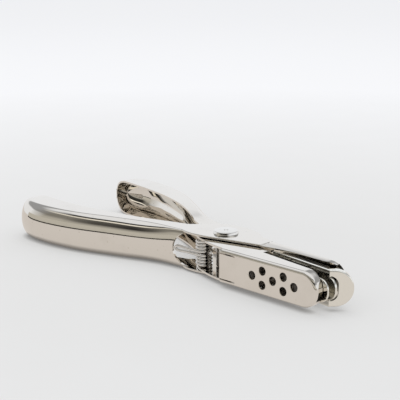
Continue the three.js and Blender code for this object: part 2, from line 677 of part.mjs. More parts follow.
/** The pack's two rivets: along the throat, and height from the middle plane. */
const PACK_RIVETS = [-1, 1].map((side) =>
  [PATTERN_CENTRE + side * PACK_RIVET_REACH, -side * PACK_RIVET_RISE]);

const packRivetPegs = () => PACK_RIVETS.map(([along, height]) =>
  pegAcross(PACK_RIVET / 2 + PIN_CLEARANCE, along, height, 0, 12));

function pinCarrier() {
  return fromThroat(cut(
    solid(prismY(packOutline(), CARRIER_FACE, BACKING_FACE - SEAT_GAP, 5)),
    ...patternPegs(PIN_DIAMETER / 2 + PIN_CLEARANCE, 0, 12),
    ...patternPegs(PIN_HEAD / 2 + PIN_CLEARANCE, BACKING_FACE - PIN_HEAD_HEIGHT - SEAT_GAP, 12),
    ...packRivetPegs(),
  ));
}

function pinBackingPlate() {
  return fromThroat(cut(
    solid(prismY(packOutline(), BACKING_FACE, BACKING_BACK, 5)),
    pegAcross(STUD / 2 + PIN_CLEARANCE, PATTERN_CENTRE, 0, 0, 12),
    ...packRivetPegs(),
  ));
}

function carrierRivet([along, height]) {
  const head = PACK_RIVET_HEAD / 2;
  const headHeight = PACK_RIVET_HEAD_HEIGHT;
  return headedPin({
    along,
    height,
    radius: PACK_RIVET / 2,
    low: CARRIER_FACE - SEAT_GAP - headHeight,
    high: BACKING_BACK + SEAT_GAP + headHeight,
    lowHead: head,
    lowHeight: headHeight,
    highHead: head,
    highHeight: headHeight,
  });
}

function punchPin([along, height]) {
  return headedPin({
    along,
    height,
    radius: PIN_DIAMETER / 2,
    low: THROAT_FAR + PIN_RECESS,
    high: BACKING_FACE - SEAT_GAP,
    highHead: PIN_HEAD / 2,
    highHeight: PIN_HEAD_HEIGHT - SEAT_GAP,
  });
}

function liftStud() {
  const outside = FAR_WEB_IN + SHEET + FIT_GAP;
  return headedPin({
    along: PATTERN_CENTRE,
    height: 0,
    radius: STUD / 2,
    low: BACKING_FACE + SEAT_GAP,
    high: outside + STUD_HEAD_HEIGHT,
    highHead: STUD_HEAD / 2,
    highHeight: STUD_HEAD_HEIGHT,
  });
}

// ---- The tool -----------------------------------------------------------------------------------------

const metal = (color, roughness) =>
  new THREE.MeshStandardMaterial({ color, roughness, metalness: 1 });
const nickel = () => metal(0xcfcabf, 0.18);
const brightNickel = () => metal(0xd8d5cd, 0.12);
const springSteel = () => metal(0x9c9a92, 0.25);
const toolSteel = () => metal(0x8c8a86, 0.35);

const tool = new THREE.Group();

/** Adds one named piece to the tool. */
function piece(name, body, material) {
  const mesh = new THREE.Mesh(geometryOf(body), material);
  mesh.name = name;
  tool.add(mesh);
}

piece('die_lever', dieLever(), nickel());
piece('die_plate', diePlate(), toolSteel());
piece('guide_plate', guidePlate(), brightNickel());
piece('throat_spacer', throatSpacer(), toolSteel());
piece('guide_rivet_upper', guideRivet(1), toolSteel());
piece('guide_rivet_lower', guideRivet(-1), toolSteel());
piece('pivot_bush', pivotBush(), toolSteel());
piece('spring_post', springPost(), toolSteel());
piece('torsion_spring', torsionSpring(), springSteel());
piece('press_lever', pressLever(), nickel());
piece('pivot_rivet', pivotRivet(), brightNickel());
piece('pin_carrier', pinCarrier(), toolSteel());
piece('pin_backing_plate', pinBackingPlate(), toolSteel());
piece('carrier_rivet_rear', carrierRivet(PACK_RIVETS[0]), toolSteel());
piece('carrier_rivet_front', carrierRivet(PACK_RIVETS[1]), toolSteel());
piece('lift_stud', liftStud(), toolSteel());
PATTERN.forEach((place, index) => piece(`punch_pin_${index + 1}`, punchPin(place), toolSteel()));

export default tool;
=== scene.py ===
"""A plier-type hand punch of pressed, nickel-plated steel, built piece by piece on its frame."""

import logging
import math
from collections.abc import Callable, Sequence
from dataclasses import dataclass
from enum import Enum

import bmesh
import bpy
from mathutils import Matrix, Vector


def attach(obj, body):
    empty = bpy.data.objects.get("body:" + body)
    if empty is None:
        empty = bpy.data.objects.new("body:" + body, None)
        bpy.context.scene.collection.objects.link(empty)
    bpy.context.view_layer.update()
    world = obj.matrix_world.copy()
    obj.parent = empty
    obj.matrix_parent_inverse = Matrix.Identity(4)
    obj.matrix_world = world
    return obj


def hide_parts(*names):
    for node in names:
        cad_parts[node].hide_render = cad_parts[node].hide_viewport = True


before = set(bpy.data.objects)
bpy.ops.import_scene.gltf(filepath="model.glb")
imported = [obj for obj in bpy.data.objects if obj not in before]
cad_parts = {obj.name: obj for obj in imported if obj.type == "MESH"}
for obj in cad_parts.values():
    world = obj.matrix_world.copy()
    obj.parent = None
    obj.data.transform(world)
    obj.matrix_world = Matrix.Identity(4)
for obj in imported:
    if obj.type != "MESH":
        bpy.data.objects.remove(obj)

MM = 0.001
Flat = tuple[float, float]
Row = list[Vector]
Level = Callable[[float], float]
Object = bpy.types.Object
Material = bpy.types.Material
Socket = bpy.types.NodeSocket
Colour = tuple[float, float, float]

log = logging.getLogger("punch")


class Body(Enum):
    """The bodies of the frame that pieces ride on."""

    DIE_ARM = "die_arm"
    PRESS_ARM = "press_arm"
    PIN_PACK = "pin_pack"


class Slot(Enum):
    """The finish slots of the record."""

    LEVER = "plated_lever"
    PLATE = "plated_plate"
    RIVET = "plated_rivet"
    SPACER = "spacer_steel"
    BUSH = "bush_steel"
    SPRING = "spring_steel"
    CARRIER = "carrier_steel"
    TOOL = "tool_steel"


class Solid(Enum):
    """How a solid is combined with the ones given after it."""

    JOIN = "UNION"
    CUT = "DIFFERENCE"
    KEEP = "INTERSECT"


# ---- Sizes that several sub-assemblies share, in millimetres -------------------------------


@dataclass(frozen=True)
class ToolSizes:
    """The sheet, the levels of the plates, and the throat that all the pieces meet at."""

    sheet: float = 0.8
    mid: float = 8.0
    inner_out: float = 6.35
    nest_gap: float = 0.3
    fit_gap: float = 0.3
    seat_gap: float = 0.1
    throat_tilt: float = math.radians(8.2)
    throat_near: float = -3.1
    throat_far: float = 0.6
    throat_back: float = 25.0
    die_proud: float = 0.9
    guide_thickness: float = 0.9
    stroke: float = 3.3
    pattern_centre: float = 37.2
    column_pitch: float = 4.65
    pair_rise: float = 2.54
    pin_diameter: float = 3.1
    clearance: float = 0.1
    bush_bore: float = 2.8
    post_place: Flat = (-5.9, -5.6)
    rim: float = 0.13

    @property
    def inner_in(self) -> float:
        """Inner face of the inner lever's cheeks, from the middle plane."""
        return self.inner_out - self.sheet

    @property
    def outer_in(self) -> float:
        """Inner face of the outer lever's cheeks, from the middle plane."""
        return self.inner_out + self.nest_gap

    @property
    def outer_out(self) -> float:
        """Outer face of the outer lever's cheeks, from the middle plane."""
        return self.outer_in + self.sheet

    @property
    def guide_back(self) -> float:
        """The guide plate's back, across the throat."""
        return self.throat_far + self.guide_thickness

    @property
    def pin_bore(self) -> float:
        """Radius of the bores that the punch pins run in."""
        return self.pin_diameter / 2 + self.clearance

    @property
    def middle(self) -> Matrix:
        """The place of pieces whose heights are from the middle plane."""
        return Matrix.Translation((0, 0, self.mid))

    @property
    def level(self) -> Matrix:
        """The place of pieces drawn in x and height, with their depth along y."""
        return self.middle @ ACROSS

    @property
    def throat_place(self) -> Matrix:
        """The throat's own frame: x along it, y across it to the far jaw, z from the middle."""
        return self.middle @ Matrix.Rotation(-self.throat_tilt, 4, "Z")

    def in_throat(self, along: float, across: float) -> Flat:
        """The x and y in the tool's frame of a place along the throat and across it."""
        cos, sin = math.cos(self.throat_tilt), math.sin(self.throat_tilt)
        return along * cos + across * sin, -along * sin + across * cos

    def pattern(self) -> list[Flat]:
        """The seven places of the punch pattern.

        Returns:
            How far along the throat each pin is, and its height from the middle.
        """
        places: list[Flat] = []
        for column in range(-2, 3):
            along = self.pattern_centre + column * self.column_pitch
            rises = (self.pair_rise, -self.pair_rise) if abs(column) == 1 else (0.0,)
            places += [(along, rise) for rise in rises]
        return places


SIZES = ToolSizes()
THROUGH = (-1.0, 17.0)  # heights that a cutter runs between to pass the whole tool
PAST = 12.0  # how far cutters reach across the throat
TINY = 1e-6  # a length that counts as none
WELD = 2e-7  # how near points are welded, in metres

# Puts a piece drawn in x and height, with its depth as z, upright with its depth along y
ACROSS = Matrix(((1, 0, 0, 0), (0, 0, 1, 0), (0, 1, 0, 0), (0, 0, 0, 1)))
# Turns a solid that stands on z so that it stands across the throat
STANDING = Matrix.Rotation(-math.pi / 2, 4, "X")
# The direction that the camera looks in from above, and the level ones ahead and to the right
FACING = (-0.7083, 0.7059)
AHEAD = Vector((*FACING, 0.0))
RIGHT = Vector((AHEAD.y, -AHEAD.x, 0.0))


# ---- Curves and outlines ---------------------------------------------------------------------


class Spline:
    """A smooth curve through points, in the plane or in space."""

    def __init__(self, points: Sequence[Sequence[float]]) -> None:
        """Takes the points that the curve passes through."""
        self.points = [Vector(point) for point in points]

    def at(self, share: float) -> Vector:
        """The point at a share of the way along the listed points.

        Args:
            share: From 0 at the first point to 1 at the last.

        Returns:
            The point on the curve.
        """
        last = len(self.points) - 1
        place = min(max(share, 0.0), 1.0) * last
        start = min(int(place), last - 1)
        rest = place - start
        near, far = self.points[start], self.points[start + 1]
        before = self.points[start - 1] if start > 0 else near * 2 - far
        after = self.points[start + 2] if start + 2 <= last else far * 2 - near
        pairs = ((before, near), (near, far), (far, after))
        g0, g1, g2 = (max((b - a).length, TINY) ** 0.5 for a, b in pairs)
        leave = (near - before) / g0 - (far - before) / (g0 + g1) + (far - near) / g1
        arrive = (far - near) / g1 - (after - near) / (g1 + g2) + (after - far) / g2
        leave, arrive = leave * g1, arrive * g1
        bend = near * 2 - far * 2 + leave + arrive
        lean = far * 3 - near * 3 - leave * 2 - arrive
        return bend * rest**3 + lean * rest**2 + leave * rest + near

    def walk(self, count: int) -> list[Flat]:
        """So many points spread along the curve, from its first to its last."""
        return [tuple(self.at(i / (count - 1))) for i in range(count)]


def polar(radius: float, angle: float) -> Flat:
    """A place on a circle round the origin, at an angle in degrees."""
    return radius * math.cos(math.radians(angle)), radius * math.sin(math.radians(angle))


def oval(centre: float, reach: float, half: float, angles: Sequence[int]) -> list[Flat]:
    """Points on an oval whose centre is on the x axis, at angles in degrees."""
    return [(centre + polar(reach, angle)[0], polar(half, angle)[1]) for angle in angles]


def rounding(radius: float, steps: int) -> list[Flat]:
    """A quarter round: how far its points lie inside the second face, and inside the first."""
    turns = [math.radians(90 * step / steps) for step in range(steps + 1)]
    return [(radius * (1 - math.sin(turn)), radius * (1 - math.cos(turn))) for turn in turns]


def smooth_step(value: float, low: float, high: float) -> float:
    """A soft step from 0 to 1, as a value goes from low to high."""
    share = min(max((value - low) / (high - low), 0.0), 1.0)
    return share * share * (3 - 2 * share)


def arc(centre: Flat, radius: float, start: float, end: float, steps: int) -> list[Flat]:
    """The points of a circular arc cut into steps, from one angle in degrees to another."""
    turns = [math.radians(start + (end - start) * i / steps) for i in range(steps + 1)]
    return [(centre[0] + radius * math.cos(t), centre[1] + radius * math.sin(t)) for t in turns]


def bar(
    x0: float, x1: float, y0: float, y1: float, right: float = 0.0, left: float = 0.0
) -> list[Flat]:
    """A rectangle with a radius of its own at each end.

    Args:
        x0: Left side.
        x1: Right side.
        y0: Bottom.
        y1: Top.
        right: Radius of the corners on the right.
        left: Radius of the corners on the left.

    Returns:
        The outline, anticlockwise.
    """
    points: list[Flat] = []
    for x, y, radius, start in (
        (x1, y0, right, -90), (x1, y1, right, 0), (x0, y1, left, 90), (x0, y0, left, 180),
    ):
        if radius <= 0:
            points.append((x, y))
            continue
        inward = math.copysign(radius, x - (x0 + x1) / 2), math.copysign(radius, y - (y0 + y1) / 2)
        points += arc((x - inward[0], y - inward[1]), radius, start, start + 90, 14)
    return points


def inset(outline: Sequence[Flat], depth: float) -> list[Flat]:
    """Moves an outline inwards.

    Args:
        outline: The closed outline.
        depth: How far each side moves.

    Returns:
        The smaller outline, with as many points.
    """
    count = len(outline)
    area = sum(
        outline[i][0] * outline[(i + 1) % count][1] - outline[(i + 1) % count][0] * outline[i][1]
        for i in range(count)
    )
    side = 1 if area > 0 else -1
    moved: list[Flat] = []
    for i in range(count):
        here = Vector(outline[i])
        back, on = here - Vector(outline[i - 1]), Vector(outline[(i + 1) % count]) - here
        normals = [Vector((-v.y, v.x)).normalized() * side for v in (back, on) if v.length > TINY]
        lean = sum(normals, Vector((0, 0)))
        reach = max(lean.length_squared / len(normals), 0.5)
        moved.append(tuple(here + lean / reach * depth))
    return moved


def grid(rows: int, count: int, closed: bool) -> list[tuple[int, ...]]:
    """The faces between rows of as many points each.

    Args:
        rows: How many rows there are.
        count: How many points each has.
        closed: Whether the rows are rings.

    Returns:
        The faces, as indices of points.
    """
    return [
        (row + i, row + (i + 1) % count, row + count + (i + 1) % count, row + count + i)
        for row in range(0, (rows - 1) * count, count)
        for i in range(count if closed else count - 1)
    ]


# ---- Forge: from outlines, rings and cutters to meshes ------------------------------------------


class Forge:
    """Makes solids in millimetres and leaves them as objects in metres."""

    @staticmethod
    def build(
        name: str, points: Sequence[Vector], faces: Sequence[Sequence[int]], place: Matrix
    ) -> Object:
        """Makes an object from points and faces.

        Args:
            name: The object's name.
            points: Its corners.
            faces: Its faces, as indices of corners.
            place: Where the points are put, in the tool's frame.

        Returns:
            The object.
        """
        mesh = bpy.data.meshes.new(name)
        grow = Matrix.Scale(MM, 4) @ place
        corners = [grow @ Vector(point) for point in points]
        mesh.from_pydata(corners, [], [list(face) for face in faces])
        obj = bpy.data.objects.new(name, mesh)
        bpy.context.scene.collection.objects.link(obj)
        return obj

    @staticmethod
    def close(obj: Object, outward: Vector | None = None) -> Object:
        """Welds an object's points and turns all its faces outwards.

        Args:
            obj: The object.
            outward: For an open sheet, a direction that its first face looks in.

        Returns:
            The object.
        """
        work = bmesh.new()
        work.from_mesh(obj.data)
        bmesh.ops.remove_doubles(work, verts=work.verts, dist=WELD)
        bmesh.ops.recalc_face_normals(work, faces=work.faces)
        work.faces.ensure_lookup_table()
        if outward and work.faces[0].normal.dot(outward) < 0:
            bmesh.ops.reverse_faces(work, faces=work.faces)
        work.to_mesh(obj.data)
        work.free()
        return obj

    @classmethod
    def loft(cls, name: str, rings: Sequence[Row], place: Matrix = Matrix()) -> Object:
        """Skins closed rings of as many points into one closed solid.

        Args:
            name: The object's name.
            rings: The rings, in order.
            place: Where it is put.

        Returns:
            The solid.
        """
        count = len(rings[0])
        end = (len(rings) - 1) * count
        faces = [*grid(len(rings), count, True), range(count), range(end, end + count)]
        return cls.close(cls.build(name, [p for ring in rings for p in ring], faces, place))

    @classmethod
    def slab(
        cls, name: str, outline: Sequence[Flat], low: float, high: float, rim: float = SIZES.rim,
        place: Matrix = Matrix(),
    ) -> Object:
        """A plate with softly rounded edges.

        Args:
            name: The object's name.
            outline: Its outline.
            low: Level of its lower face.
            high: Level of its upper face.
            rim: Radius of its edges.
            place: Where it is put.

        Returns:
            The solid.
        """
        edge = rounding(rim, 3) if rim > 0 else [(0.0, 0.0)]
        levels = [(depth, low + rise) for depth, rise in edge]
        levels += [(depth, high - rise) for depth, rise in reversed(edge)]
        rings = [
            [Vector((x, y, level)) for x, y in inset(outline, depth)] for depth, level in levels
        ]
        return cls.loft(name, rings, place)

    @classmethod
    def turned(
        cls, name: str, profile: Sequence[Flat], place: Matrix = Matrix(), sides: int = 56
    ) -> Object:
        """A turned solid.

        Args:
            name: The object's name.
            profile: Radius and height from one end to the other, both ends off the axis.
            place: Where it is put.
            sides: How many sides its circles have.

        Returns:
            The solid.
        """
        rings = [
            [Vector((*polar(radius, 360 * i / sides), level)) for i in range(sides)]
            for radius, level in profile
        ]
        return cls.loft(name, rings, place)

    @classmethod
    def through(cls, name: str, radius: float, x: float = 0.0, y: float = 0.0) -> Object:
        """A drill that passes the whole tool at (x, y)."""
        profile = [(radius, level) for level in THROUGH]
        return cls.turned(name, profile, Matrix.Translation((x, y, 0)))

    @classmethod
    def tube(cls, name: str, path: Sequence[Vector], radius: float, sides: int = 18) -> Object:
        """A round wire along a path, with rounded ends.

        Args:
            name: The object's name.
            path: The points of its centre line.
            radius: The wire's radius.
            sides: How many sides its section has.

        Returns:
            The solid.
        """
        rings: list[Row] = []
        side = Vector((0, 0, 1))
        last = len(path) - 1
        tip = [(0.0, 1.0), (0.24, 0.8), (0.4, 0.55)]
        ends = {0: [(-out, share) for out, share in reversed(tip)], last: tip}
        for i, point in enumerate(path):
            ahead = (path[min(i + 1, last)] - path[max(i - 1, 0)]).normalized()
            side = (side - ahead * side.dot(ahead)).normalized()
            up = ahead.cross(side)
            for out, share in ends.get(i, [(0.0, 1.0)]):
                centre = point + ahead * (out * radius)
                rings.append([
                    centre + (side * math.cos(a) + up * math.sin(a)) * radius * share
                    for a in (2 * math.pi * k / sides for k in range(sides))
                ])
        return cls.loft(name, rings)

    @classmethod
    def sheet(
        cls, name: str, rows: Sequence[Row], outward: Vector, place: Matrix, rim: float = SIZES.rim
    ) -> Object:
        """Pressed sheet: a grid of points on its outer side, made thick inwards, with soft edges.

        Args:
            name: The object's name.
            rows: Rows of as many points each, of which the first bounds a flat face.
            outward: A direction that the flat face looks in.
            place: Where it is put.
            rim: Radius of its edges.

        Returns:
            The solid.
        """
        count = len(rows[0])
        faces = [tuple(reversed(range(count))), *grid(len(rows), count, False)]
        obj = cls.build(name, [p for row in rows for p in row], faces, place)
        cls.close(obj, place.to_3x3() @ outward)
        cls.modify(obj, "SOLIDIFY", thickness=SIZES.sheet * MM, offset=-1, use_even_offset=True)
        cls.modify(
            obj, "BEVEL", limit_method="ANGLE", angle_limit=math.radians(62), width=rim * MM,
            segments=3, use_clamp_overlap=True,
        )
        return cls.settle(obj)

    @staticmethod
    def modify(obj: Object, kind: str, **settings: object) -> None:
        """Gives an object a modifier of a kind, with its settings.

        Args:
            obj: The object.
            kind: What the modifier does, as Blender names it.
            settings: Its properties.
        """
        modifier = obj.modifiers.new(kind.lower(), kind)
        for name, value in settings.items():
            setattr(modifier, name, value)

    @staticmethod
    def settle(obj: Object) -> Object:
        """Replaces an object's mesh with what its modifiers make of it.

        Args:
            obj: The object.

        Returns:
            The same object, with the shape that its modifiers gave it.
        """
        graph = bpy.context.evaluated_depsgraph_get()
        made = bpy.data.meshes.new_from_object(obj.evaluated_get(graph), depsgraph=graph)
        obj.modifiers.clear()
        obj.data = made
        return obj

    @classmethod
    def combine(cls, base: Object, how: Solid, tools: Sequence[Object]) -> Object:
        """Joins solids to a solid, cuts them from it, or keeps what they share.

        Args:
            base: The solid that is kept.
            how: What is done with the others.
            tools: The other solids, which are used up.

        Returns:
            The base, changed.
        """
        for tool in tools:
            cls.modify(base, "BOOLEAN", operation=how.value, solver="MANIFOLD", object=tool)
            before = len(base.data.polygons)
            cls.settle(base)
            if not base.data.polygons:
                raise ValueError(f"{base.name} vanished at {tool.name}, from {before} faces")
            bpy.data.objects.remove(tool)
        return base

    @classmethod
    def smooth(cls, obj: Object, name: str, angle: float) -> None:
        """Gives a finished solid its name and smooth shading that breaks at real edges.

        Args:
            obj: The solid.
            name: The piece's name.
            angle: The angle in degrees from which an edge stays sharp.
        """
        obj.name = obj.data.name = name
        obj.data.shade_smooth()
        obj.data.set_sharp_from_angle(angle=math.radians(angle))
        cls.modify(obj, "WEIGHTED_NORMAL", keep_sharp=True, weight=60)


# ---- Finishes ------------------------------------------------------------------------------------


class Graph:
    """A node tree, with one short call to add a node and feed it."""

    def __init__(self, owner: bpy.types.ID) -> None:
        """Takes the node tree of a material or world, and empties it.

        Args:
            owner: The material or world.
        """
        owner.use_nodes = True
        self.tree = owner.node_tree
        self.tree.nodes.clear()

    def add(
        self, kind: str, settings: dict | None = None, feeds: dict | None = None
    ) -> bpy.types.Node:
        """Adds a node.

        Args:
            kind: The node's type, without its leading ShaderNode.
            settings: Its properties.
            feeds: What goes in, by input: a value, or a socket to link.

        Returns:
            The node.
        """
        node = self.tree.nodes.new(f"ShaderNode{kind}")
        for name, value in (settings or {}).items():
            setattr(node, name, value)
        for name, value in (feeds or {}).items():
            if isinstance(value, Socket):
                self.tree.links.new(value, node.inputs[name])
            else:
                node.inputs[name].default_value = value
        return node

    def maths(self, operation: str, first: object, second: object = 0.0) -> Socket:
        """The result of a named sum on two numbers or sockets."""
        return self.add("Math", {"operation": operation}, {0: first, 1: second}).outputs[0]

    def blend(self, share: Socket, first: Socket | Colour, second: Socket | Colour) -> Socket:
        """A mix of two colours, by a share from 0 to 1."""
        feeds = {i: c if isinstance(c, Socket) else (*c, 1.0) for i, c in ((6, first), (7, second))}
        return self.add("Mix", {"data_type": "RGBA"}, {"Factor": share, **feeds}).outputs[2]

    def ramp(self, feed: Socket, stops: Sequence[tuple[float, Sequence[float]]]) -> Socket:
        """A row of colours that a number picks from.

        Args:
            feed: The number.
            stops: Positions and their colours.

        Returns:
            The colour.
        """
        node = self.add("ValToRGB", None, {"Fac": feed})
        row = node.color_ramp.elements
        while len(row) < len(stops):
            row.new(0.5)
        for stop, (place, colour) in zip(row, stops):
            stop.position = place
            stop.color = (*colour, 1.0)
        return node.outputs["Color"]

    def span(self, feed: Socket, source: Flat, target: Flat = (0.0, 1.0)) -> Socket:
        """A number mapped from one span to another, and held there."""
        ends = zip(("From Min", "From Max", "To Min", "To Max"), (*source, *target))
        return self.add("MapRange", None, {"Value": feed, **dict(ends)}).outputs[0]


@dataclass(frozen=True)
class Metal:
    """A bare or plated metal, with hazy patches, fine scratches, small pits and some tarnish."""

    name: str
    colour: Colour
    tarnish: Colour
    roughness: float
    haze: float = 0.06
    scratches: float = 0.12
    pits: float = 0.35
    stain: float = 0.3
    waves: float = 0.0

    def material(self) -> Material:
        """The material, made once.

        Returns:
            The material.
        """
        if self.name in bpy.data.materials:
            return bpy.data.materials[self.name]
        material = bpy.data.materials.new(self.name)
        graph = Graph(material)
        place = graph.add("TexCoord").outputs["Object"]
        patches = self.noise(graph, place, 95.0, 4.0)
        clouds = self.noise(graph, place, 420.0, 5.0)
        pitting = self.pitting(graph, place)
        scratching = self.scratching(graph, place)
        stain = graph.maths("MULTIPLY", graph.span(patches, (0.52, 0.8), (0, self.stain)), clouds)
        colour = graph.blend(graph.maths("MAXIMUM", stain, pitting), self.colour, self.tarnish)
        rough = graph.span(patches, (0.3, 0.7), (0.0, self.haze))
        rough = graph.maths("ADD", rough, self.roughness)
        rough = graph.maths("ADD", rough, graph.span(clouds, (0.35, 0.75), (0.0, self.haze * 0.8)))
        rough = graph.maths("ADD", rough, graph.maths("MULTIPLY", scratching, 0.16))
        rough = graph.maths("ADD", rough, graph.maths("MULTIPLY", pitting, 0.3))
        shader = graph.add("BsdfPrincipled", None, {
            "Base Color": colour,
            "Metallic": 1.0,
            "Roughness": rough,
            "Normal": self.relief(graph, place, scratching, pitting),
        })
        graph.add("OutputMaterial", None, {"Surface": shader.outputs[0]})
        return material

    @staticmethod
    def noise(graph: Graph, place: Socket, scale: float, detail: float) -> Socket:
        """Soft random patches from 0 to 1: how many to a metre, and with how many finer layers."""
        feeds = {"Vector": place, "Scale": scale, "Detail": detail}
        return graph.add("TexNoise", None, feeds).outputs["Fac"]

    def scratching(self, graph: Graph, place: Socket) -> Socket:
        """Sparse fine lines that run three ways.

        Args:
            graph: The tree to add to.
            place: The coordinates.

        Returns:
            1 on a scratch and 0 elsewhere.
        """
        lines: Socket | None = None
        lays = ((0.25, 2600.0, 0.655), (-0.5, 3400.0, 0.67), (1.2, 3000.0, 0.68))
        for turn, stretch, sparse in lays:
            lay = graph.add("Mapping", None, {
                "Vector": place,
                "Rotation": (0.2, turn * 0.7, turn),
                "Scale": (60.0, stretch, stretch),
            }).outputs[0]
            line = graph.span(self.noise(graph, lay, 1.0, 1.5), (sparse, sparse + 0.035))
            lines = line if lines is None else graph.maths("MAXIMUM", lines, line)
        return graph.maths("MULTIPLY", lines, self.scratches * 4)

    def pitting(self, graph: Graph, place: Socket) -> Socket:
        """Small scattered pits and specks in the finish.

        Args:
            graph: The tree to add to.
            place: The coordinates.

        Returns:
            1 in a pit and 0 elsewhere.
        """
        cells = graph.add("TexVoronoi", {"feature": "F1"}, {"Vector": place, "Scale": 520.0})
        where = graph.span(self.noise(graph, place, 240.0, 2.0), (0.5, 0.62))
        dot = graph.span(cells.outputs["Distance"], (0.08, 0.2), (1.0, 0.0))
        return graph.maths("MULTIPLY", graph.maths("MULTIPLY", dot, where), self.pits)

    def relief(self, graph: Graph, place: Socket, scratching: Socket, pitting: Socket) -> Socket:
        """The fine relief of the surface.

        Args:
            graph: The tree to add to.
            place: The coordinates.
            scratching: Where the scratches are.
            pitting: Where the pits are.

        Returns:
            The bent normal.
        """
        wave = self.noise(graph, place, 150.0, 2.0)
        height = graph.maths("MULTIPLY", wave, self.waves)
        height = graph.maths("SUBTRACT", height, graph.maths("MULTIPLY", scratching, 0.01))
        height = graph.maths("SUBTRACT", height, graph.maths("MULTIPLY", pitting, 0.06))
        feeds = {"Strength": 0.35, "Distance": 0.0004, "Height": height}
        return graph.add("Bump", None, feeds).outputs[0]


class Finish:
    """The finishes of the tool's pieces."""

    LEVER = Metal(
        "pressed_nickel", (0.75, 0.715, 0.66), (0.46, 0.42, 0.35), 0.025,
        haze=0.025, scratches=0.06, waves=0.02,
    )
    PLATE = Metal("bright_nickel", (0.82, 0.80, 0.735), (0.55, 0.51, 0.44), 0.08, haze=0.05)
    # Dark paint that stands in for shade in bores and on sides hidden in the near jaw.
    PAINTED_SHADE = Metal("painted_shade_lining", (0.16, 0.15, 0.14), (0.1, 0.09, 0.08), 0.3)
    RIVET = Metal(
        "rivet_nickel", (0.77, 0.75, 0.71), (0.42, 0.39, 0.34), 0.05, haze=0.04, pits=0.25
    )
    SPACER = Metal("spacer_steel", (0.42, 0.40, 0.37), (0.2, 0.16, 0.12), 0.34)
    BUSH = Metal("turned_steel", (0.5, 0.47, 0.43), (0.24, 0.19, 0.14), 0.27)
    SPRING = Metal(
        "spring_wire", (0.74, 0.73, 0.71), (0.4, 0.37, 0.33), 0.05, haze=0.04, scratches=0.1
    )
    CARRIER = Metal("ground_steel", (0.45, 0.43, 0.4), (0.22, 0.18, 0.14), 0.3, scratches=0.2)
    # The pins' dark colour is partly tool steel's own and partly painted shade for the dark inside
    # of the jaws.
    TOOL = Metal("tool_steel", (0.2, 0.185, 0.165), (0.1, 0.085, 0.07), 0.3)


# ---- Handles -----------------------------------------------------------------------------------


@dataclass(frozen=True)
class Handle:
    """A pressed handle: a long shell of half-round section that is open on its inner side."""

    start_half: float
    extra: float = 0.0
    height: float = 16.0
    back: float = 4.0
    neck_back: float = 1.8
    tip_back: float = 4.7
    tip: float = 0.07
    blunt: float = 0.3
    closing: Flat = (0.3, 0.1)
    deepest: float = 0.92
    swell: Flat = (0.1, 0.45)
    back_swell: Flat = (0.0, 0.3)
    back_full: Flat = (0.5, 0.85)
    drawn_out: Flat = (0.55, 1.0)
    stations: int = 76
    steps: int = 34
    cheek: int = 5
    outer: Spline = Spline((
        (-9, -9.4), (-18, -10.4), (-25, -11.8), (-32, -14), (-40, -17), (-49, -20.2), (-57, -23),
        (-65, -25.3), (-74, -27), (-82, -27.8), (-89, -27.6), (-96, -25.8), (-101.5, -21.5),
    ))
    open: Spline = Spline((
        (-9, -0.5), (-18, -1), (-25, -2.8), (-32, -5.6), (-40, -8.3), (-49, -10.4), (-57, -11.8),
        (-65, -12.8), (-74, -13.4), (-82, -13.5), (-89, -13.3), (-96, -13), (-102.5, -13.4),
    ))
    rim: float = 0.16
    window_centre: float = -11.4
    window_radius: float = 7.0
    window_depth: Flat = (-16.0, -6.0)

    def ring(self, run: float) -> Row:
        """The outer side of the handle's section, from the lower open edge to the upper one.

        Args:
            run: The share of the way from the pivot to the tip.

        Returns:
            The points of the section.
        """
        outer, inner = self.outer.at(run), self.open.at(run)
        drawn = self.extra * smooth_step(run, *self.drawn_out)
        outer.x -= drawn
        inner.x -= drawn
        tip = max(0.0, (run - 1 + self.tip) / self.tip)
        close = max(self.blunt, math.sqrt(1 - tip * tip))
        start = 2 * self.start_half
        full = start + (self.height - start) * smooth_step(run, *self.swell)
        half = full * close / 2
        across = outer - inner
        width = across.length
        across.normalize()
        outer -= across * (width * (1 - close) * self.closing[0])
        inner += across * (width * (1 - close) * self.closing[1])
        width = (outer - inner).length
        back = self.neck_back + (self.back - self.neck_back) * smooth_step(run, *self.back_swell)
        back += (self.tip_back - back) * smooth_step(run, *self.back_full)
        reach = min(back, width * self.deepest)
        flat = [((width - reach) * i / self.cheek, half) for i in range(self.cheek)]
        profile = [(w, -h) for w, h in flat]
        for step in range(self.steps + 1):
            turn = (step / self.steps - 0.5) * math.pi
            profile.append((width - reach + reach * math.cos(turn), half * math.sin(turn)))
        profile += reversed(flat)
        return [Vector((inner.x + across.x * w, inner.y + across.y * w, h)) for w, h in profile]

    def build(self, name: str, place: Matrix) -> Object:
        """The shell, with its window.

        Args:
            name: The object's name.
            place: Where it is put, from the near handle's place.

        Returns:
            The solid.
        """
        runs = [math.sin((1 - i / self.stations) * math.pi / 2) for i in range(self.stations + 1)]
        rows = [self.ring(run) for run in runs]
        level = place @ SIZES.middle
        shell = Forge.sheet(name, rows, Vector((-1, 0, 0)), level, self.rim)
        return Forge.combine(shell, Solid.CUT, [self.window(place)])

    def window(self, place: Matrix) -> Object:
        """The cutter for the arched window at the handle's end.

        Args:
            place: Where the handle is put.

        Returns:
            The cutter.
        """
        half = self.start_half - SIZES.sheet
        arch = oval(self.window_centre, self.window_radius, half, range(90, 271, 6))
        outline = [(0, -half), (0, half), *arch]
        return Forge.slab("window", outline, *self.window_depth, rim=0, place=place @ SIZES.level)


def mirror_place(tilt: float) -> Matrix:
    """The reflection in a line, sloped by a tilt in degrees, that makes the far handle's shape."""
    normal = Vector((math.sin(math.radians(tilt)), math.cos(math.radians(tilt)), 0.0))
    return Matrix.Scale(-1, 4, normal)


def outline_through(
    curved: Sequence[Flat], straight: Sequence[Flat], count: int = 60
) -> list[Flat]:
    """An outline that starts as a smooth curve of so many points and goes on in straight lines."""
    return [*Spline(curved).walk(count), *straight]


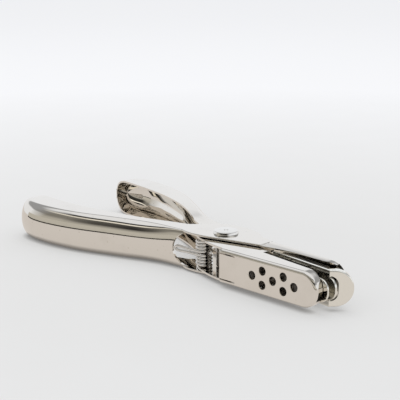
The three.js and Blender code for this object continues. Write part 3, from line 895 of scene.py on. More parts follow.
def nose_row(x0: float, tip: float, half: float, radius: float, level: Level) -> Row:
    """One line round a jaw: out along its lower side, round its nose, and back on its upper side.

    Args:
        x0: Where the line starts and ends.
        tip: How far it reaches.
        half: Its half height.
        radius: The radius of the nose's corners.
        level: The y of the line over x.

    Returns:
        The points.
    """
    run = [x0 + (tip - radius - x0) * i / 30 for i in range(30)]
    lower = [(x, -half) for x in run] + arc((tip - radius, radius - half), radius, -90, 0, 22)
    points = lower + [(x, -h) for x, h in reversed(lower)]
    return [Vector((x, level(x), h)) for x, h in points]


# ---- Assemblies ----------------------------------------------------------------------------------


@dataclass
class Assembly:
    """Pieces that ride on one body."""

    body: Body
    sizes: ToolSizes = SIZES

    def enter(
        self, obj: Object, node: str, finish: Metal, slot: Slot, angle: float = 32.0
    ) -> Object:
        """Dresses a solid and hands it to the frame in the place of its plain node.

        Args:
            obj: The solid.
            node: The node that it replaces.
            finish: Its metal.
            slot: The finish slot that it belongs to; not used.
            angle: The angle in degrees from which its edges stay sharp.

        Returns:
            The piece.
        """
        Forge.smooth(obj, f"{node}_form", angle)
        obj.data.materials.clear()
        obj.data.materials.append(finish.material())
        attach(obj, self.body.value)
        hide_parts(node)
        log.info("%s: %d faces, %s", obj.name, len(obj.data.polygons), finish.name)
        return obj

    def drill(self, radius: float, places: Sequence[Flat], low: float, high: float) -> list[Object]:
        """Straight drills across the throat, from low to high, at places along it and in height."""
        return [self.across("drill", [(radius, low), (radius, high)], place) for place in places]

    def across(self, name: str, profile: Sequence[Flat], place: Flat, sides: int = 48) -> Object:
        """A turned solid that stands across the throat, at a place along it and in height."""
        spot = self.sizes.throat_place @ Matrix.Translation((place[0], 0, place[1]))
        return Forge.turned(name, profile, spot @ STANDING, sides)

    def plates(
        self, outline: Sequence[Flat], inside: float, outside: float, rim: float = 0.12
    ) -> list[Object]:
        """The upper and lower plate of a lever.

        Args:
            outline: Their outline.
            inside: Their inner face, from the middle plane.
            outside: Their outer face.
            rim: How far their edges are rounded.

        Returns:
            The two plates.
        """
        mid = self.sizes.mid
        return [
            Forge.slab("plate_upper", outline, mid + inside, mid + outside, rim),
            Forge.slab("plate_lower", outline, mid - outside, mid - inside, rim),
        ]


def headed(
    radius: float, low: float, high: float, low_head: Flat, high_head: Flat, soft: float = 0.12
) -> list[Flat]:
    """The profile of a pin with a softly rounded head at either end.

    Args:
        radius: The shank's radius.
        low: The pin's lower end.
        high: Its upper end.
        low_head: Radius and height of the lower head, or zeros.
        high_head: Radius and height of the upper head, or zeros.
        soft: Radius of the edges.

    Returns:
        Radius and height, from end to end.
    """
    def end(face: float, inward: float, wide: float, tall: float) -> list[Flat]:
        """One end, from its face to its neck."""
        rim = [(wide - depth, face + inward * rise) for depth, rise in rounding(soft, 3)]
        return [(wide * 0.4, face), *rim, *([(wide, face + inward * tall)] if tall else [])]

    lower = end(low, 1, low_head[0] or radius, low_head[1])
    upper = end(high, -1, high_head[0] or radius, high_head[1])
    neck_low = [(radius, low + low_head[1])] if low_head[1] else []
    neck_high = [(radius, high - high_head[1])] if high_head[1] else []
    return [*lower, *neck_low, *neck_high, *reversed(upper)]


@dataclass
class DieArm(Assembly):
    """The inner lever, which carries the far handle, the near jaw and the throat's fixed plates."""

    body: Body = Body.DIE_ARM
    jaw_face: float = -14.5
    jaw_bend: float = 1.3
    tongue: float = 10.4
    flange: float = 18.0
    slit: float = 0.5
    nose: float = 54.3
    notch: float = 3.4
    nose_flat: float = 0.15
    wall_rows: tuple[float, ...] = (0.35, 0.7, 1.0)
    flare: tuple[Flat, ...] = ((0.6, -0.5), (0.16, 0.0), (0.06, 0.06), (0.0, 0.2))
    mirror_tilt: float = 5.4
    far_extra: float = 7.0
    far_tip: float = 0.13
    far_tip_back: float = 5.0
    post_hole: float = 1.28

    def near_jaw(self) -> Object:
        """The near jaw: web, flanges and nose wall of one pressed tray.

        Returns:
            The tray, without its holes.
        """
        s = self.sizes
        half, tilt = s.inner_out, s.throat_tilt
        corner, start = half - self.nose_flat, self.jaw_face + self.jaw_bend

        def edge(x: float) -> float:
            """The throat's edge over x."""
            return (s.throat_near - x * math.sin(tilt)) / math.cos(tilt)

        rows = [
            nose_row(
                self.tongue, self.nose - depth, half - depth, corner - depth,
                lambda x: self.jaw_face + rise,
            )
            for depth, rise in rounding(self.jaw_bend, 8)
        ]
        rows += [
            nose_row(
                self.tongue, self.nose, half, corner,
                lambda x: start + (edge(x) - start) * share,
            )
            for share in self.wall_rows
        ]
        return Forge.sheet("near_jaw", rows, Vector((0, -1, 0)), s.middle)

    def jaw_cuts(self) -> list[Object]:
        """The slits beside the tongue, the notch in the nose wall, and the seven chip holes.

        Returns:
            The cutters.
        """
        s = self.sizes
        inside, half = self.jaw_face + self.jaw_bend, self.slit / 2
        cuts: list[Object] = []
        for side in (1, -1):
            middle = side * (s.inner_out - self.jaw_bend - half)
            slit = bar(0, self.flange, middle - half, middle + half, right=half - 0.01)
            cuts.append(Forge.slab("slit", slit, self.jaw_face - 1, inside, 0, s.level))
        notch = bar(self.nose - 4, self.nose + 1, -self.notch, 0)
        cuts.append(Forge.slab("notch", notch, inside, 0.0, 0, s.level))
        for place in s.pattern():
            cuts += self.chip_hole(s.pin_diameter / 2, place)
        return cuts

    def chip_hole(self, radius: float, place: Flat) -> list[Object]:
        """A drill for one chip hole, and a flare for its edge in the web's outer face.

        Args:
            radius: The hole's radius.
            place: How far along the throat it is, and its height from the middle.

        Returns:
            The two cutters.
        """
        s = self.sizes
        face = (self.jaw_face + place[0] * math.sin(s.throat_tilt)) / math.cos(s.throat_tilt)
        drill = self.across("chip_hole", [(radius, -30), (radius, s.throat_near - 3)], place)
        x, y = s.in_throat(place[0], face)
        turn = Matrix.Translation((x, y, s.mid + place[1])) @ STANDING
        flare = [(radius + wider, depth) for wider, depth in self.flare]
        return [drill, Forge.turned("flare", flare, turn, 48)]

    def plate_outline(self) -> list[Flat]:
        """The outline of the plates round the pivot.

        Returns:
            The outline.
        """
        s = self.sizes
        joint = (self.flange, self.jaw_face + self.jaw_bend)
        levels = (s.throat_near - 5, s.throat_near, s.guide_back + 0.5)
        return outline_through(
            [(-17, 2.5), (-13, -3), (-5.5, -8.8), (6, -12.4), joint],
            [*(s.in_throat(s.throat_back, level) for level in levels), (18, 0.4), (12, 2.4),
             (6, 6.5), (0, 9.5), (-7, 10.6), (-15, 11.4), (-22, 12.6), (-23, 8)],
        )

    def lever(self) -> Object:
        """The whole inner lever.

        Returns:
            The piece.
        """
        s = self.sizes
        handle = Handle(s.inner_out, self.far_extra, tip=self.far_tip, tip_back=self.far_tip_back)
        body = handle.build("far_handle", mirror_place(self.mirror_tilt))
        plates = self.plates(self.plate_outline(), s.inner_in, s.inner_out)
        Forge.combine(body, Solid.JOIN, [*plates, self.near_jaw()])
        bore = Forge.through("bore", s.bush_bore)
        post = Forge.through("post_hole", self.post_hole, *s.post_place)
        Forge.combine(body, Solid.CUT, [bore, post, *self.jaw_cuts()])
        return self.enter(body, "die_lever", Finish.LEVER, Slot.LEVER)


@dataclass
class Throat(Assembly):
    """The die plate and guide plate that face each other, their spacer, and the two rivets."""

    body: Body = Body.DIE_ARM
    die_thickness: float = 2.8
    tab_thickness: float = 0.7
    tail: float = 18.0
    end: float = 54.6
    tab_length: float = 2.8
    tab_half: float = 4.1
    tab_flat: float = 0.3
    end_flat: float = 0.2
    end_room: float = 0.3
    lap: float = 0.2
    skin: float = 0.02
    waist_back: float = 3.0
    hidden_back: float = 5.0
    rivet_radius: float = 1.2
    rivet_head: Flat = (1.9, 0.5)
    rivet_rise: float = 2.9
    lip_angle: float = 53.0
    lip_straight: float = 2.0
    lip_rim: float = 1.6
    lip_bend: float = 0.55
    lip_flat: float = 0.1
    gap_corner: float = 3.0
    gap_depth: Flat = (-1.0, 1.9)

    @property
    def place(self) -> Matrix:
        """The place of pieces drawn along the throat and in height, with their depth across it."""
        return self.sizes.throat_place @ ACROSS

    @property
    def half(self) -> float:
        """Half the height of the pieces held between the inner plates."""
        return self.sizes.inner_in - self.sizes.fit_gap

    @property
    def rivets(self) -> list[Flat]:
        """The places of the two rivets."""
        along = (self.tail + self.sizes.throat_back) / 2
        return [(along, self.rivet_rise), (along, -self.rivet_rise)]

    def drills(self, low: float, high: float, pattern: bool = True) -> list[Object]:
        """The drills for the rivets, and for the punch pattern.

        Args:
            low: Where the drills start, across the throat.
            high: Where they end.
            pattern: Whether the punch pattern is drilled too.

        Returns:
            The cutters.
        """
        s = self.sizes
        drills = self.drill(self.rivet_radius + s.fit_gap / 2, self.rivets, low, high)
        if pattern:
            drills += self.drill(s.pin_bore, s.pattern(), low, high)
        return drills

    def die_plate(self) -> Object:
        """The thick plate in the near jaw, with the thin tab that passes the nose.

        Returns:
            The piece.
        """
        s = self.sizes
        face = s.throat_near + s.die_proud
        inside = s.throat_near - s.fit_gap
        end = self.end - s.sheet - 2 * s.fit_gap - self.end_room
        start = s.throat_back + s.fit_gap
        half, tab, tip = self.half, self.tab_half, self.end + self.tab_length
        outline = bar(self.tail, end, -half, half, half - self.end_flat)
        low, lap, skin = face - self.tab_thickness, self.lap, self.skin
        block = Forge.slab(
            "die_block", outline, face - self.die_thickness, inside, place=self.place
        )
        front = bar(start, tip, -tab, tab, tab - self.tab_flat)
        waist = bar(start + skin, end - self.waist_back, skin - tab, tab - skin, 1)
        Forge.combine(block, Solid.JOIN, [
            Forge.slab("waist", waist, inside - lap, low + lap, 0, self.place),
            Forge.slab("front", front, low, face, 0.12, self.place),
        ])
        Forge.combine(block, Solid.CUT, self.drills(-9, 0))
        plate = self.enter(block, "die_plate", Finish.PLATE, Slot.PLATE)
        # The bore walls and the side hidden in the near jaw get painted shade.
        hidden = (end - self.hidden_back, inside - 0.05)
        return self.line(plate, s.pin_bore, s.pattern(), hidden)

    def line(self, obj: Object, radius: float, places: Sequence[Flat], hidden: Flat) -> Object:
        """Paints shade, with a dark second material, on the walls of holes and on the side that is
        hidden in the near jaw.

        Args:
            obj: The piece.
            radius: The holes' radius.
            places: Where the holes are: along the throat, and height from the middle.
            hidden: How far along and across the throat the hidden side reaches.

        Returns:
            The piece.
        """
        obj.data.materials.append(Finish.PAINTED_SHADE.material())
        back = self.place.inverted()
        for face in obj.data.polygons:
            spot = back @ (face.center / MM)
            wall = any(math.hypot(spot.x - x, spot.y - y) < radius * 1.01 for x, y in places)
            if wall or (spot.x < hidden[0] and spot.z < hidden[1]):
                face.material_index = 1
        return obj

    def lip(self) -> Object:
        """The flared lip of the guide plate: a shallow dish with a rim and a gap for the tab.

        Returns:
            The solid, which the guide plate takes in.
        """
        s = self.sizes
        reach, half = self.lip_straight + s.inner_out, s.inner_out
        corner, edge = half - self.lip_flat, s.guide_thickness + self.lip_rim
        rows = [
            nose_row(0.0, reach - depth, half - depth, corner - depth, lambda x: rise)
            for depth, rise in rounding(self.lip_bend, 6)
        ]
        rows.append(nose_row(0.0, reach, half, corner, lambda x: edge))
        flare = Matrix.Rotation(math.radians(self.lip_angle), 4, "Z")
        place = s.throat_place @ Matrix.Translation((self.end, s.throat_far, 0)) @ flare
        dish = Forge.sheet("lip", rows, Vector((0, -1, 0)), place)
        room = self.tab_half + s.fit_gap
        gap = bar(-1, self.tab_length + s.fit_gap, -room, room, self.gap_corner)
        cutter = Forge.slab("room", gap, *self.gap_depth, 0, place @ ACROSS)
        return Forge.combine(dish, Solid.CUT, [cutter])

    def guide_plate(self) -> Object:
        """The thin plate that guides the pins, with its tab and its flared lip.

        Returns:
            The piece.
        """
        s = self.sizes
        step, wide, tab = s.throat_back + 1, s.inner_out, self.tab_half
        half, end = self.half, self.end
        side = [(self.tail, -half), (step, -half), (step, -wide), (end, -wide), (end, -tab)]
        tongue = bar(end, end + self.tab_length, -tab, tab, tab - self.tab_flat)[:-2]
        outline = [*side, *tongue, *[(x, -h) for x, h in reversed(side)]]
        plate = Forge.slab("guide", outline, s.throat_far, s.guide_back, 0.1, self.place)
        Forge.combine(plate, Solid.JOIN, [self.lip()])
        Forge.combine(plate, Solid.CUT, self.drills(-1, 4))
        return self.enter(plate, "guide_plate", Finish.PLATE, Slot.PLATE)

    def spacer(self) -> Object:
        """The block between the two plates, behind the throat.

        Returns:
            The piece.
        """
        s = self.sizes
        outline = bar(self.tail, s.throat_back, -self.half, self.half)
        high = s.throat_far - s.fit_gap
        block = Forge.slab("spacer", outline, s.throat_near, high, 0.2, self.place)
        Forge.combine(block, Solid.CUT, self.drills(-9, 4, pattern=False))
        return self.enter(block, "throat_spacer", Finish.SPACER, Slot.SPACER)

    def rivet(self, name: str, place: Flat) -> Object:
        """One of the two rivets behind the throat.

        Args:
            name: The node that it replaces.
            place: How far along the throat it is, and its height from the middle.

        Returns:
            The piece.
        """
        s = self.sizes
        reach = s.seat_gap + self.rivet_head[1]
        low, high = s.throat_near + s.die_proud - self.die_thickness - reach, s.guide_back + reach
        profile = headed(self.rivet_radius, low, high, self.rivet_head, self.rivet_head, 0.3)
        rivet = self.enter(self.across("rivet", profile, place), name, Finish.RIVET, Slot.RIVET)
        # The part of the rivet inside the near jaw gets painted shade.
        return self.line(rivet, 0, [], (self.end, s.throat_near - s.fit_gap))

    def build(self) -> None:
        """Builds the throat's pieces."""
        self.die_plate()
        self.guide_plate()
        self.spacer()
        for name, place in zip(("guide_rivet_upper", "guide_rivet_lower"), self.rivets):
            self.rivet(name, place)


@dataclass
class Spring(Assembly):
    """The double torsion spring and the post that it sits on."""

    body: Body = Body.DIE_ARM
    radius: float = 2.75
    wire: float = 1.15
    turns: int = 3
    play: float = 0.12
    room: float = 0.05
    leg: float = 22.5
    loop: float = 11.4
    loop_drops: tuple[float, float, float] = (0.35, 0.75, 0.8)
    leg_angle: float = 45.7
    steps: int = 40
    points: int = 520
    post: float = 3.4

    def path(self) -> list[Vector]:
        """The wire's centre line: a leg, three turns, the middle loop, and the same mirrored.

        Returns:
            The points of the line, from the end of one leg to the end of the other.
        """
        sweep = self.leg_angle + 90 + self.turns * 360
        turned = sweep / 360
        pitch = (self.sizes.inner_in - self.play - self.wire / 2 - self.room) / (turned + 0.5)
        rise = turned * pitch
        loop_half = pitch / 2 + self.room
        x0, y0 = polar(self.radius, self.leg_angle)
        legs = [polar(share * self.leg, self.leg_angle + 90) for share in (1, 0.66, 0.33)]
        lower = [(x0 + x, y0 + y, -loop_half - rise) for x, y in legs]
        for step in range(self.steps + 1):
            share = step / self.steps
            coil = polar(self.radius, self.leg_angle - share * sweep)
            lower.append((*coil, -loop_half - rise * (1 - share)))
        half_way, out, tip = (-self.radius - drop for drop in self.loop_drops)
        lower += [(-self.loop / 2, half_way, -loop_half), (-self.loop, out, -loop_half)]
        bend = (-self.loop - loop_half, tip, 0.0)
        upper = [(x, y, -z) for x, y, z in reversed(lower)]
        place = Vector((*self.sizes.post_place, self.sizes.mid))
        return [place + Vector(point) for point in (*lower, bend, *upper)]

    def build(self) -> None:
        """Builds the spring and its post."""
        s = self.sizes
        curve = Spline([tuple(point) for point in self.path()])
        line = [curve.at(i / self.points) for i in range(self.points + 1)]
        wire = Forge.tube("wire", line, self.wire / 2)
        self.enter(wire, "torsion_spring", Finish.SPRING, Slot.SPRING, 50)
        half = s.inner_in - s.fit_gap
        end, wide, soft = self.post / 3, self.post / 2, 0.15
        upper = [
            (wide, 0.0), (wide, half - soft), (wide - soft, half), (end, half),
            (end, s.inner_out - 0.1), (end - 0.1, s.inner_out),
        ]
        profile = [(r, -z) for r, z in reversed(upper)] + upper[1:]
        post = Forge.turned("post", profile, Matrix.Translation((*s.post_place, s.mid)), 40)
        self.enter(post, "spring_post", Finish.BUSH, Slot.BUSH)


@dataclass
class Pivot(Assembly):
    """The rivet that the levers turn on, which rides on the outer lever."""

    body: Body = Body.PRESS_ARM
    shank: float = 2.5
    head: float = 4.8
    foot: float = 4.3
    foot_edge: tuple[Flat, ...] = ((0.25, 0.0), (0.07, 0.06), (0.0, 0.22))
    dome: float = 1.08
    dimple: float = 0.45
    flank: float = 0.82
    lean: Flat = (14.0, 22.0)
    shoulder: float = 0.03
    rim: float = 0.95
    hollow: tuple[Flat, ...] = (
        (0.82, 0.05), (0.7, 0.2), (0.56, 0.5), (0.4, 0.8), (0.22, 0.96), (0.06, 1.0),
    )

    def build(self) -> None:
        """Builds the rivet with its domed and dimpled upper head and its flat lower head."""
        s = self.sizes
        low, top = s.mid - s.outer_out, s.mid + s.outer_out
        foot, head, (steep, slack) = self.foot, self.head, self.lean
        profile = [(foot * 0.4, 0.0), *((foot - inward, rise) for inward, rise in self.foot_edge)]
        profile += [(foot, low), (self.shank, low), (self.shank, top)]
        profile += [(head - 0.06, top), (head, top + 0.05)]
        for step in range(10):
            lean, rise = math.radians(steep + (slack - steep) * step / 9), self.flank / 10
            profile.append((profile[-1][0] - math.tan(lean) * rise, profile[-1][1] + rise))
        for step in range(1, 7):
            rise, depth = polar(self.shoulder, slack + (80 - slack) * step / 6)
            profile.append((profile[-1][0] - depth, profile[-1][1] + rise))
        edge, start = profile[-1]
        crown = top + self.dome
        for step in range(1, 15):
            reach = edge + (self.rim - edge) * step / 14
            profile.append((reach, start + polar(crown - start, 90 * step / 14)[1]))
        profile += [(reach, crown - self.dimple * share) for reach, share in self.hollow]
        rivet = Forge.turned("rivet", profile, sides=72)
        self.enter(rivet, "pivot_rivet", Finish.RIVET, Slot.RIVET, 40)


@dataclass
class Bush(Assembly):
    """The bush between the inner plates, round the pivot rivet."""

    body: Body = Body.DIE_ARM
    wall: float = 0.9
    chamfer: float = 0.2

    def build(self) -> None:
        """Builds the bush with chamfered ends."""
        s = self.sizes
        half, wide, cut = s.inner_in - s.fit_gap, s.bush_bore + self.wall, self.chamfer
        profile = [(wide - cut, -half), (wide, cut - half), (wide, half - cut), (wide - cut, half)]
        ring = Forge.turned("bush", profile, s.middle)
        Forge.combine(ring, Solid.CUT, [Forge.through("bore", s.bush_bore)])
        self.enter(ring, "pivot_bush", Finish.BUSH, Slot.BUSH)


@dataclass
class PressArm(Assembly):
    """The outer lever: near handle, pivot plates and far jaw."""

    body: Body = Body.PRESS_ARM
    web_x: float = 12.0
    web_tilt: float = 5.3
    web_face: float = 8.35
    bend: float = 2.2
    reach: float = 55.5
    corner: float = 6.3
    nose_bend: float = 0.9
    rim: float = 0.12
    flange: float = 7.0
    flange_drop: float = 0.5
    drop_over: Flat = (12.0, 18.0)
    drop_from: float = 2.0
    clear_to: float = 0.8
    arch: float = 5.0
    bore: float = 2.65
    plate_rim: float = 0.28
    stud_slot: Flat = (3.8, 2.4)

    def web_y(self, x: float) -> float:
        """The outer face of the far jaw's web over x."""
        x0, y0 = self.sizes.in_throat(self.sizes.pattern_centre, self.web_face)
        return y0 - (x - x0) * math.tan(math.radians(self.web_tilt))

    def far_jaw(self) -> Object:
        """The far jaw: a channel that opens on the throat, with a web that curls at the nose.

        Returns:
            The channel, with its arch and its rooms cut.
        """
        s = self.sizes
        half = s.outer_out
        rows: list[Row] = []

        def row(depth: float, curl: float, level: Level, drop: float = 0.0) -> Row:
            """A line round the jaw, whose flanges come down past the neck by a drop.

            Args:
                depth: How far the line lies inside the sides.
                curl: How far it lies inside the tip of the nose.
                level: The y of the line over x.
                drop: How far the flanges come down.

            Returns:
                The points.
            """
            tip, corner = self.reach - curl, self.corner - depth
            points = nose_row(self.web_x, tip, half - depth, corner, level)
            for point in points:
                past_neck = smooth_step(point.x, *self.drop_over)
                lower = drop * past_neck * smooth_step(abs(point.z), self.drop_from, half)
                point.z -= math.copysign(lower, point.z)
            return points

        for (depth, fall), (curl, _) in zip(rounding(self.bend, 9), rounding(self.nose_bend, 9)):
            rows.append(row(depth, curl, lambda x: self.web_y(x) - fall))
        for share in (0.25, 0.5, 0.75, 1.0):
            deep = self.bend + self.flange * share
            rows.append(row(0.0, 0.0, lambda x: self.web_y(x) - deep, self.flange_drop * share))
        channel = Forge.sheet("far_jaw", rows, Vector((0, 1, 0)), s.middle, self.rim)
        edge = outline_through(
            [(self.web_x - 0.5, -4.7), (18, -3.4), (26, -2.2), (35, -1.6), (44, -2.2), (50, -2.2),
             (53, -0.6), (54.4, 2)],
            [(56, 3.8), (57, 3.8), (57, 14), (self.web_x - 0.5, 14)], 90,
        )
        Forge.combine(channel, Solid.KEEP, [Forge.slab("edge", edge, *THROUGH, 0)])
        arch = oval(self.web_x, self.arch, s.outer_in, range(0, 360, 8))
        room = bar(self.web_x + 2, 60, -s.outer_in, s.outer_in)
        nose_room = bar(self.web_x + 2, self.reach + 2, -s.outer_in, s.outer_in, self.corner)
        return Forge.combine(channel, Solid.CUT, [
            Forge.slab("arch", arch, 0, PAST, 0, s.level),
            Forge.slab("room", room, -PAST, self.web_y(60) - self.bend - s.sheet, 0, s.level),
            Forge.slab("nose_room", nose_room, -PAST, self.clear_to, 0, s.level),
        ])

    def lever(self) -> Object:
        """The whole outer lever.

        Returns:
            The piece.
        """
        s = self.sizes
        x = self.web_x
        outline = outline_through(
            [(-19, -5.4), (-16, -8), (-12, -9.3), (-4.6, -9.1), (5.7, -6.5), (x + 4, -4),
             (x + 8, -3)],
            [(x + 8, 3.6), (14, 5.2), (8, 9), (0, 11), (-8, 9.6), (-14, 4.6), (-20, -1.6)],
        )
        body = Handle(s.outer_out).build("near_handle", Matrix())
        plates = self.plates(outline, s.outer_in, s.outer_out, self.plate_rim)
        Forge.combine(body, Solid.JOIN, [*plates, self.far_jaw()])
        long, high = self.stud_slot[0] / 2, self.stud_slot[1] / 2
        slot = bar(s.pattern_centre - long, s.pattern_centre + long, -high, high, 0.3, 0.3)
        stud = Forge.slab("stud_slot", slot, 5, 11, 0, s.throat_place @ ACROSS)
        Forge.combine(body, Solid.CUT, [Forge.through("bore", self.bore), stud])
        return self.enter(body, "press_lever", Finish.LEVER, Slot.LEVER)


@dataclass
class PinPack(Assembly):
    """The punch pins with their carrier, its backing plate, two rivets and the lifting stud."""

    body: Body = Body.PIN_PACK
    length: float = 23.6
    height: float = 10.4
    corner: float = 1.6
    carrier: float = 0.9
    backing: float = 0.6
    rivet: float = 0.7
    rivet_rise: float = 3.6
    head: Flat = (2.0, 0.4)
    head_room: float = 0.6
    rivet_head: Flat = (0.45, 0.15)
    rivet_proud: float = 0.25
    web_gap: float = 0.95
    recess: float = 0.1
    stud: float = 0.9
    stud_head: Flat = (2.0, 0.6)

    def build(self) -> None:
        """Builds the pack from its carrier to its pins."""
        s = self.sizes
        face = s.guide_back + s.fit_gap + s.stroke
        back = face + self.carrier
        outside = back + self.backing
        centre, place = s.pattern_centre, s.throat_place @ ACROSS
        long, high = self.length / 2, self.height / 2
        outline = bar(centre - long, centre + long, -high, high, self.corner, self.corner)
        rivets = [(centre + side * 2 * s.column_pitch, -side * self.rivet_rise) for side in (-1, 1)]
        carrier = Forge.slab("carrier", outline, face, back - s.seat_gap, 0.12, place)
        Forge.combine(carrier, Solid.CUT, [
            *self.drill(s.pin_bore, s.pattern(), 0, PAST),
            *self.drill(self.head[0] + s.clearance, s.pattern(), back - self.head_room, PAST),
            *self.drill(self.rivet + s.clearance, rivets, 0, PAST),
        ])
        self.enter(carrier, "pin_carrier", Finish.CARRIER, Slot.CARRIER)
        backing = Forge.slab("backing", outline, back, outside, 0.12, place)
        Forge.combine(backing, Solid.CUT, [
            *self.drill(self.rivet + s.clearance, rivets, 0, PAST),
            *self.drill(self.stud + s.clearance, [(centre, 0)], 0, PAST),
        ])
        self.enter(backing, "pin_backing_plate", Finish.CARRIER, Slot.CARRIER)
        small, proud = (self.rivet + self.rivet_head[0], self.rivet_head[1]), self.rivet_proud
        for name, spot in zip(("carrier_rivet_rear", "carrier_rivet_front"), rivets):
            profile = headed(self.rivet, face - proud, outside + proud, small, small, 0.07)
            self.enter(self.across("rivet", profile, spot, 32), name, Finish.RIVET, Slot.RIVET)
        top = outside + self.web_gap + s.sheet + s.fit_gap + self.stud_head[1]
        profile = headed(self.stud, back + s.seat_gap, top, (0, 0), self.stud_head, 0.2)
        self.enter(self.across("stud", profile, (centre, 0)), "lift_stud", Finish.RIVET, Slot.RIVET)
        tip, seat = s.throat_far + self.recess, back - s.seat_gap
        for number, spot in enumerate(s.pattern(), 1):
            profile = headed(s.pin_diameter / 2, tip, seat, (0, 0), self.head, 0.05)
            pin = self.across("pin", profile, spot)
            self.enter(pin, f"punch_pin_{number}", Finish.TOOL, Slot.TOOL)


# ---- Studio --------------------------------------------------------------------------------------


@dataclass(frozen=True)
class Studio:
    """A pale floor, soft lamps, and a surround that is plain to the eye and, in reflections only,
    pale behind the tool and darker in front.
    """

    front_edge: Flat = (0.6, 0.5)
    far_edge: Flat = (2.5, 6.0)
    lit: float = 0.5
    lit_mirrored: float = 0.9
    floor_colour: Colour = (0.755, 0.755, 0.75)
    floor_far: Colour = (0.90, 0.905, 0.92)
    backdrop: Colour = (0.93, 0.935, 0.95)
    warm: Colour = (1.0, 0.955, 0.85)
    cool: Colour = (0.975, 1.0, 1.045)
    mirrored_floor: Colour = (0.76, 0.715, 0.68)
    cool_from: float = 45.0
    heights: Flat = (-10.0, 90.0)
    # Painted reflection bands: brightness by height in degrees, which only glossy rays see.
    front: tuple[Flat, ...] = (
        (-10, 0.60), (7, 0.60), (13, 0.38), (18, 0.04), (33, 0.03), (35, 1.2), (39.5, 1.2),
        (41, 0.02), (54, 0.02), (56, 0.98), (90, 1.0),
    )
    beside: tuple[Flat, ...] = (
        (-10, 0.53), (14, 0.51), (22, 0.25), (34, 0.25), (36, 0.9), (39.5, 0.9), (41, 0.06),
        (48, 0.06), (50, 0.98), (90, 1.0),
    )
    back: tuple[Flat, ...] = (
        (-10, 0.95), (0, 0.95), (4.5, 0.99), (20.7, 0.99), (24, 0.4), (38, 0.4), (45, 0.98),
        (90, 1.0),
    )
    beside_from: Flat = (-0.55, -0.2)
    back_from: Flat = (0.0, 0.35)
    right_from: Flat = (0.1, 0.5)
    card_line: tuple[Flat, ...] = (
        (0.10, -0.21), (-0.02, -0.16), (-0.10, -0.085), (-0.15, 0.02), (-0.20, 0.14), (-0.34, 0.34),
    )
    card_height: float = 0.030
    card_levels: Flat = (0.03, 0.6)
    floor_drop: float = 0.00005
    card_foot: Flat = (0.0052, 0.0068)

    @staticmethod
    def surface(
        name: str, points: Sequence[Vector], faces: Sequence[Sequence[int]]
    ) -> tuple[Object, Graph]:
        """A staged surface with a material of its own.

        Args:
            name: Its name.
            points: Its corners, in metres.
            faces: Its faces, as indices of corners.

        Returns:
            The surface, and the material's nodes.
        """
        mesh = bpy.data.meshes.new(name)
        mesh.from_pydata(points, [], faces)
        obj = bpy.data.objects.new(name, mesh)
        bpy.context.scene.collection.objects.link(obj)
        mesh.materials.append(bpy.data.materials.new(f"{name}_paint"))
        return obj, Graph(mesh.materials[0])

    def floor(self) -> None:
        """A pale table, which ends a little way in front of the tool and goes on far behind it,
        painted darker near the tool, with a painted contact shadow and a warmer painted tone in
        reflections.
        """
        (narrow, before), (wide, behind) = self.front_edge, self.far_edge
        plan = ((-narrow, -before), (narrow, -before), (wide, behind), (-wide, behind))
        drop = Vector((0, 0, -self.floor_drop))
        corners = [RIGHT * right + AHEAD * away + drop for right, away in plan]
        _, graph = self.surface("floor", corners, [(0, 1, 2, 3)])
        place = graph.add("TexCoord").outputs["Object"]
        reach = graph.add("VectorMath", {"operation": "LENGTH"}, {0: place}).outputs["Value"]
        reach = graph.maths("DIVIDE", reach, 2.0)
        grain = graph.maths("MULTIPLY", Metal.noise(graph, place, 30.0, 3.0), 0.03)
        near, far = self.floor_colour, self.floor_far
        # Painted shade: the floor's colour is darker near the tool and lighter far off.
        colour = graph.ramp(graph.maths("ADD", reach, grain), [(0.05, near), (0.32, far)])
        card = graph.add("BsdfDiffuse", None, {"Color": colour})
        mirrored = graph.add("LightPath").outputs["Is Glossy Ray"]
        # Painted contact shadow: ambient occlusion dims the floor's glow under and beside the tool.
        shade = graph.add("AmbientOcclusion", {"samples": 8}, {"Distance": 0.003}).outputs["AO"]
        shade = graph.span(shade, (0.3, 0.85), (0.3, 1.0))
        # Painted reflection: glossy rays see the floor glow more and in a warmer tone.
        tone = graph.blend(mirrored, colour, self.mirrored_floor)
        glow = graph.add("Emission", None, {"Color": tone, "Strength": shade})
        share = graph.span(mirrored, (0.0, 1.0), (self.lit, self.lit_mirrored))
        mix = graph.add("MixShader", None, {0: share, 1: card.outputs[0], 2: glow.outputs[0]})
        graph.add("OutputMaterial", None, {"Surface": mix.outputs[0]})

    def card(self) -> None:
        """A low card with a dark foot beside the tool, which only polished metal shows."""
        line = [AHEAD * away + RIGHT * right for away, right in self.card_line]
        rise = Vector((0, 0, self.card_height))
        count = len(line)
        faces = [(i, i + 1, count + i + 1, count + i) for i in range(count - 1)]
        card, graph = self.surface("card", [*line, *(point + rise for point in line)], faces)
        split = graph.add("SeparateXYZ", None, {0: graph.add("TexCoord").outputs["Object"]})
        share = graph.span(split.outputs["Z"], self.card_foot)
        foot, pale = (tuple(level * part for part in self.warm) for level in self.card_levels)
        tone = graph.ramp(share, [(0.0, foot), (1.0, pale)])
        glow = graph.add("Emission", None, {"Color": tone})
        graph.add("OutputMaterial", None, {"Surface": glow.outputs[0]})
        card.visible_camera = card.visible_diffuse = card.visible_shadow = False

    def grades(self, graph: Graph, height: Socket, stops: Sequence[Flat]) -> Socket:
        """One side of the surround, graded by height.

        Args:
            graph: The world's nodes.
            height: The height, from 0 to 1 over `heights`.
            stops: Heights in degrees, and how bright the surround is there.

        Returns:
            The colour.
        """
        low, high = self.heights
        row = []
        for at, value in stops:
            tint = self.cool if at >= self.cool_from or stops is self.back else self.warm
            row.append(((at - low) / (high - low), tuple(value * part for part in tint)))
        return graph.ramp(height, row)

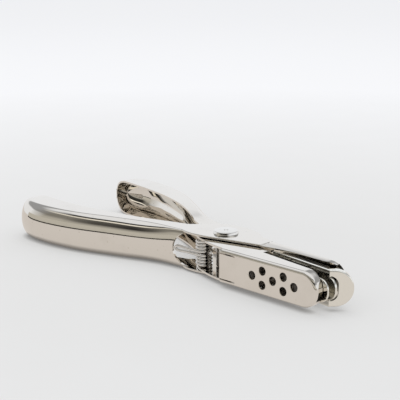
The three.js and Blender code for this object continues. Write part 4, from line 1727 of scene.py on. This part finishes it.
    def surround(self) -> None:
        """The world: plain and pale to the eye and to diffuse light, and graded with painted bright
        and dark bands that only polished metal mirrors.
        """
        world = bpy.data.worlds.new("surround")
        bpy.context.scene.world = world
        graph = Graph(world)
        way = graph.add("TexCoord").outputs["Generated"]
        split = graph.add("SeparateXYZ", None, {0: way})
        height = graph.maths("ARCSINE", split.outputs["Z"])
        low, high = self.heights
        height = graph.span(height, (math.radians(low), math.radians(high)))
        dot = {"operation": "DOT_PRODUCT"}
        facing, right = (
            graph.add("VectorMath", dot, {0: way, 1: line}).outputs["Value"]
            for line in (AHEAD, RIGHT)
        )
        shares = graph.span(facing, self.back_from), graph.span(right, self.right_from)
        behind = graph.maths("MAXIMUM", *shares)
        tone = self.grades(graph, height, self.front)
        beside = graph.span(facing, self.beside_from)
        for stops, share in ((self.beside, beside), (self.back, behind)):
            tone = graph.blend(share, tone, self.grades(graph, height, stops))
        reflection_bands = graph.add("Background", None, {"Color": tone, "Strength": 1.0})
        plain = graph.add("Background", None, {"Color": (*self.backdrop, 1.0), "Strength": 1.0})
        mirrored = graph.add("LightPath").outputs["Is Glossy Ray"]
        mix = graph.add("MixShader", None, {0: mirrored, 1: plain.outputs[0], 2: reflection_bands.outputs[0]})
        graph.add("OutputWorld", None, {"Surface": mix.outputs[0]})

    @staticmethod
    def lamp(name: str, place: Vector, size: float, power: float) -> None:
        """A soft square lamp that looks at the tool, and that polished metal doesn't show.

        Args:
            name: Its name.
            place: Where it hangs, in metres.
            size: Its side, in metres.
            power: Its power, in watts.
        """
        data = bpy.data.lights.new(name, "AREA")
        data.shape = "SQUARE"
        data.size = size
        data.energy = power
        lamp = bpy.data.objects.new(name, data)
        lamp.location = place
        lamp.rotation_euler = place.to_track_quat("Z", "Y").to_euler()
        lamp.visible_glossy = False
        bpy.context.scene.collection.objects.link(lamp)

    def build(self) -> None:
        """Builds the stage and its lights."""
        self.floor()
        self.card()
        self.surround()
        self.lamp("overhead", AHEAD * 0.3 + Vector((0, 0, 1.6)), 1.2, 4.0)
        self.lamp("left", -RIGHT * 1.1 - AHEAD * 0.2 + Vector((0, 0, 1.0)), 0.7, 1.2)


@dataclass(frozen=True)
class Eye:
    """The camera."""

    place: tuple[float, float, float] = (233.0, -246.0, 108.1)
    pitch: float = 13.3
    lens: float = 84.24

    def build(self) -> None:
        """Builds the camera and makes it the scene's."""
        data = bpy.data.cameras.new("camera")
        data.sensor_width = 36.0
        data.lens = self.lens
        data.clip_start, data.clip_end = 0.01, 50.0
        camera = bpy.data.objects.new("camera", data)
        camera.location = Vector(self.place) * MM
        drop = math.radians(self.pitch)
        look = Vector((*(part * math.cos(drop) for part in FACING), -math.sin(drop)))
        camera.rotation_euler = look.to_track_quat("-Z", "Y").to_euler()
        bpy.context.scene.collection.objects.link(camera)
        bpy.context.scene.camera = camera


def main() -> None:
    """Builds the tool, its studio and the camera."""
    logging.basicConfig(level=logging.INFO, format="%(name)s: %(message)s")
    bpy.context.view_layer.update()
    bpy.context.scene.view_settings.view_transform = "Standard"
    Studio().build()
    Eye().build()
    DieArm().lever()
    for assembly in (Throat(), Bush(), Spring()):
        assembly.build()
    PressArm().lever()
    Pivot().build()
    PinPack().build()


if __name__ == "__main__":
    main()
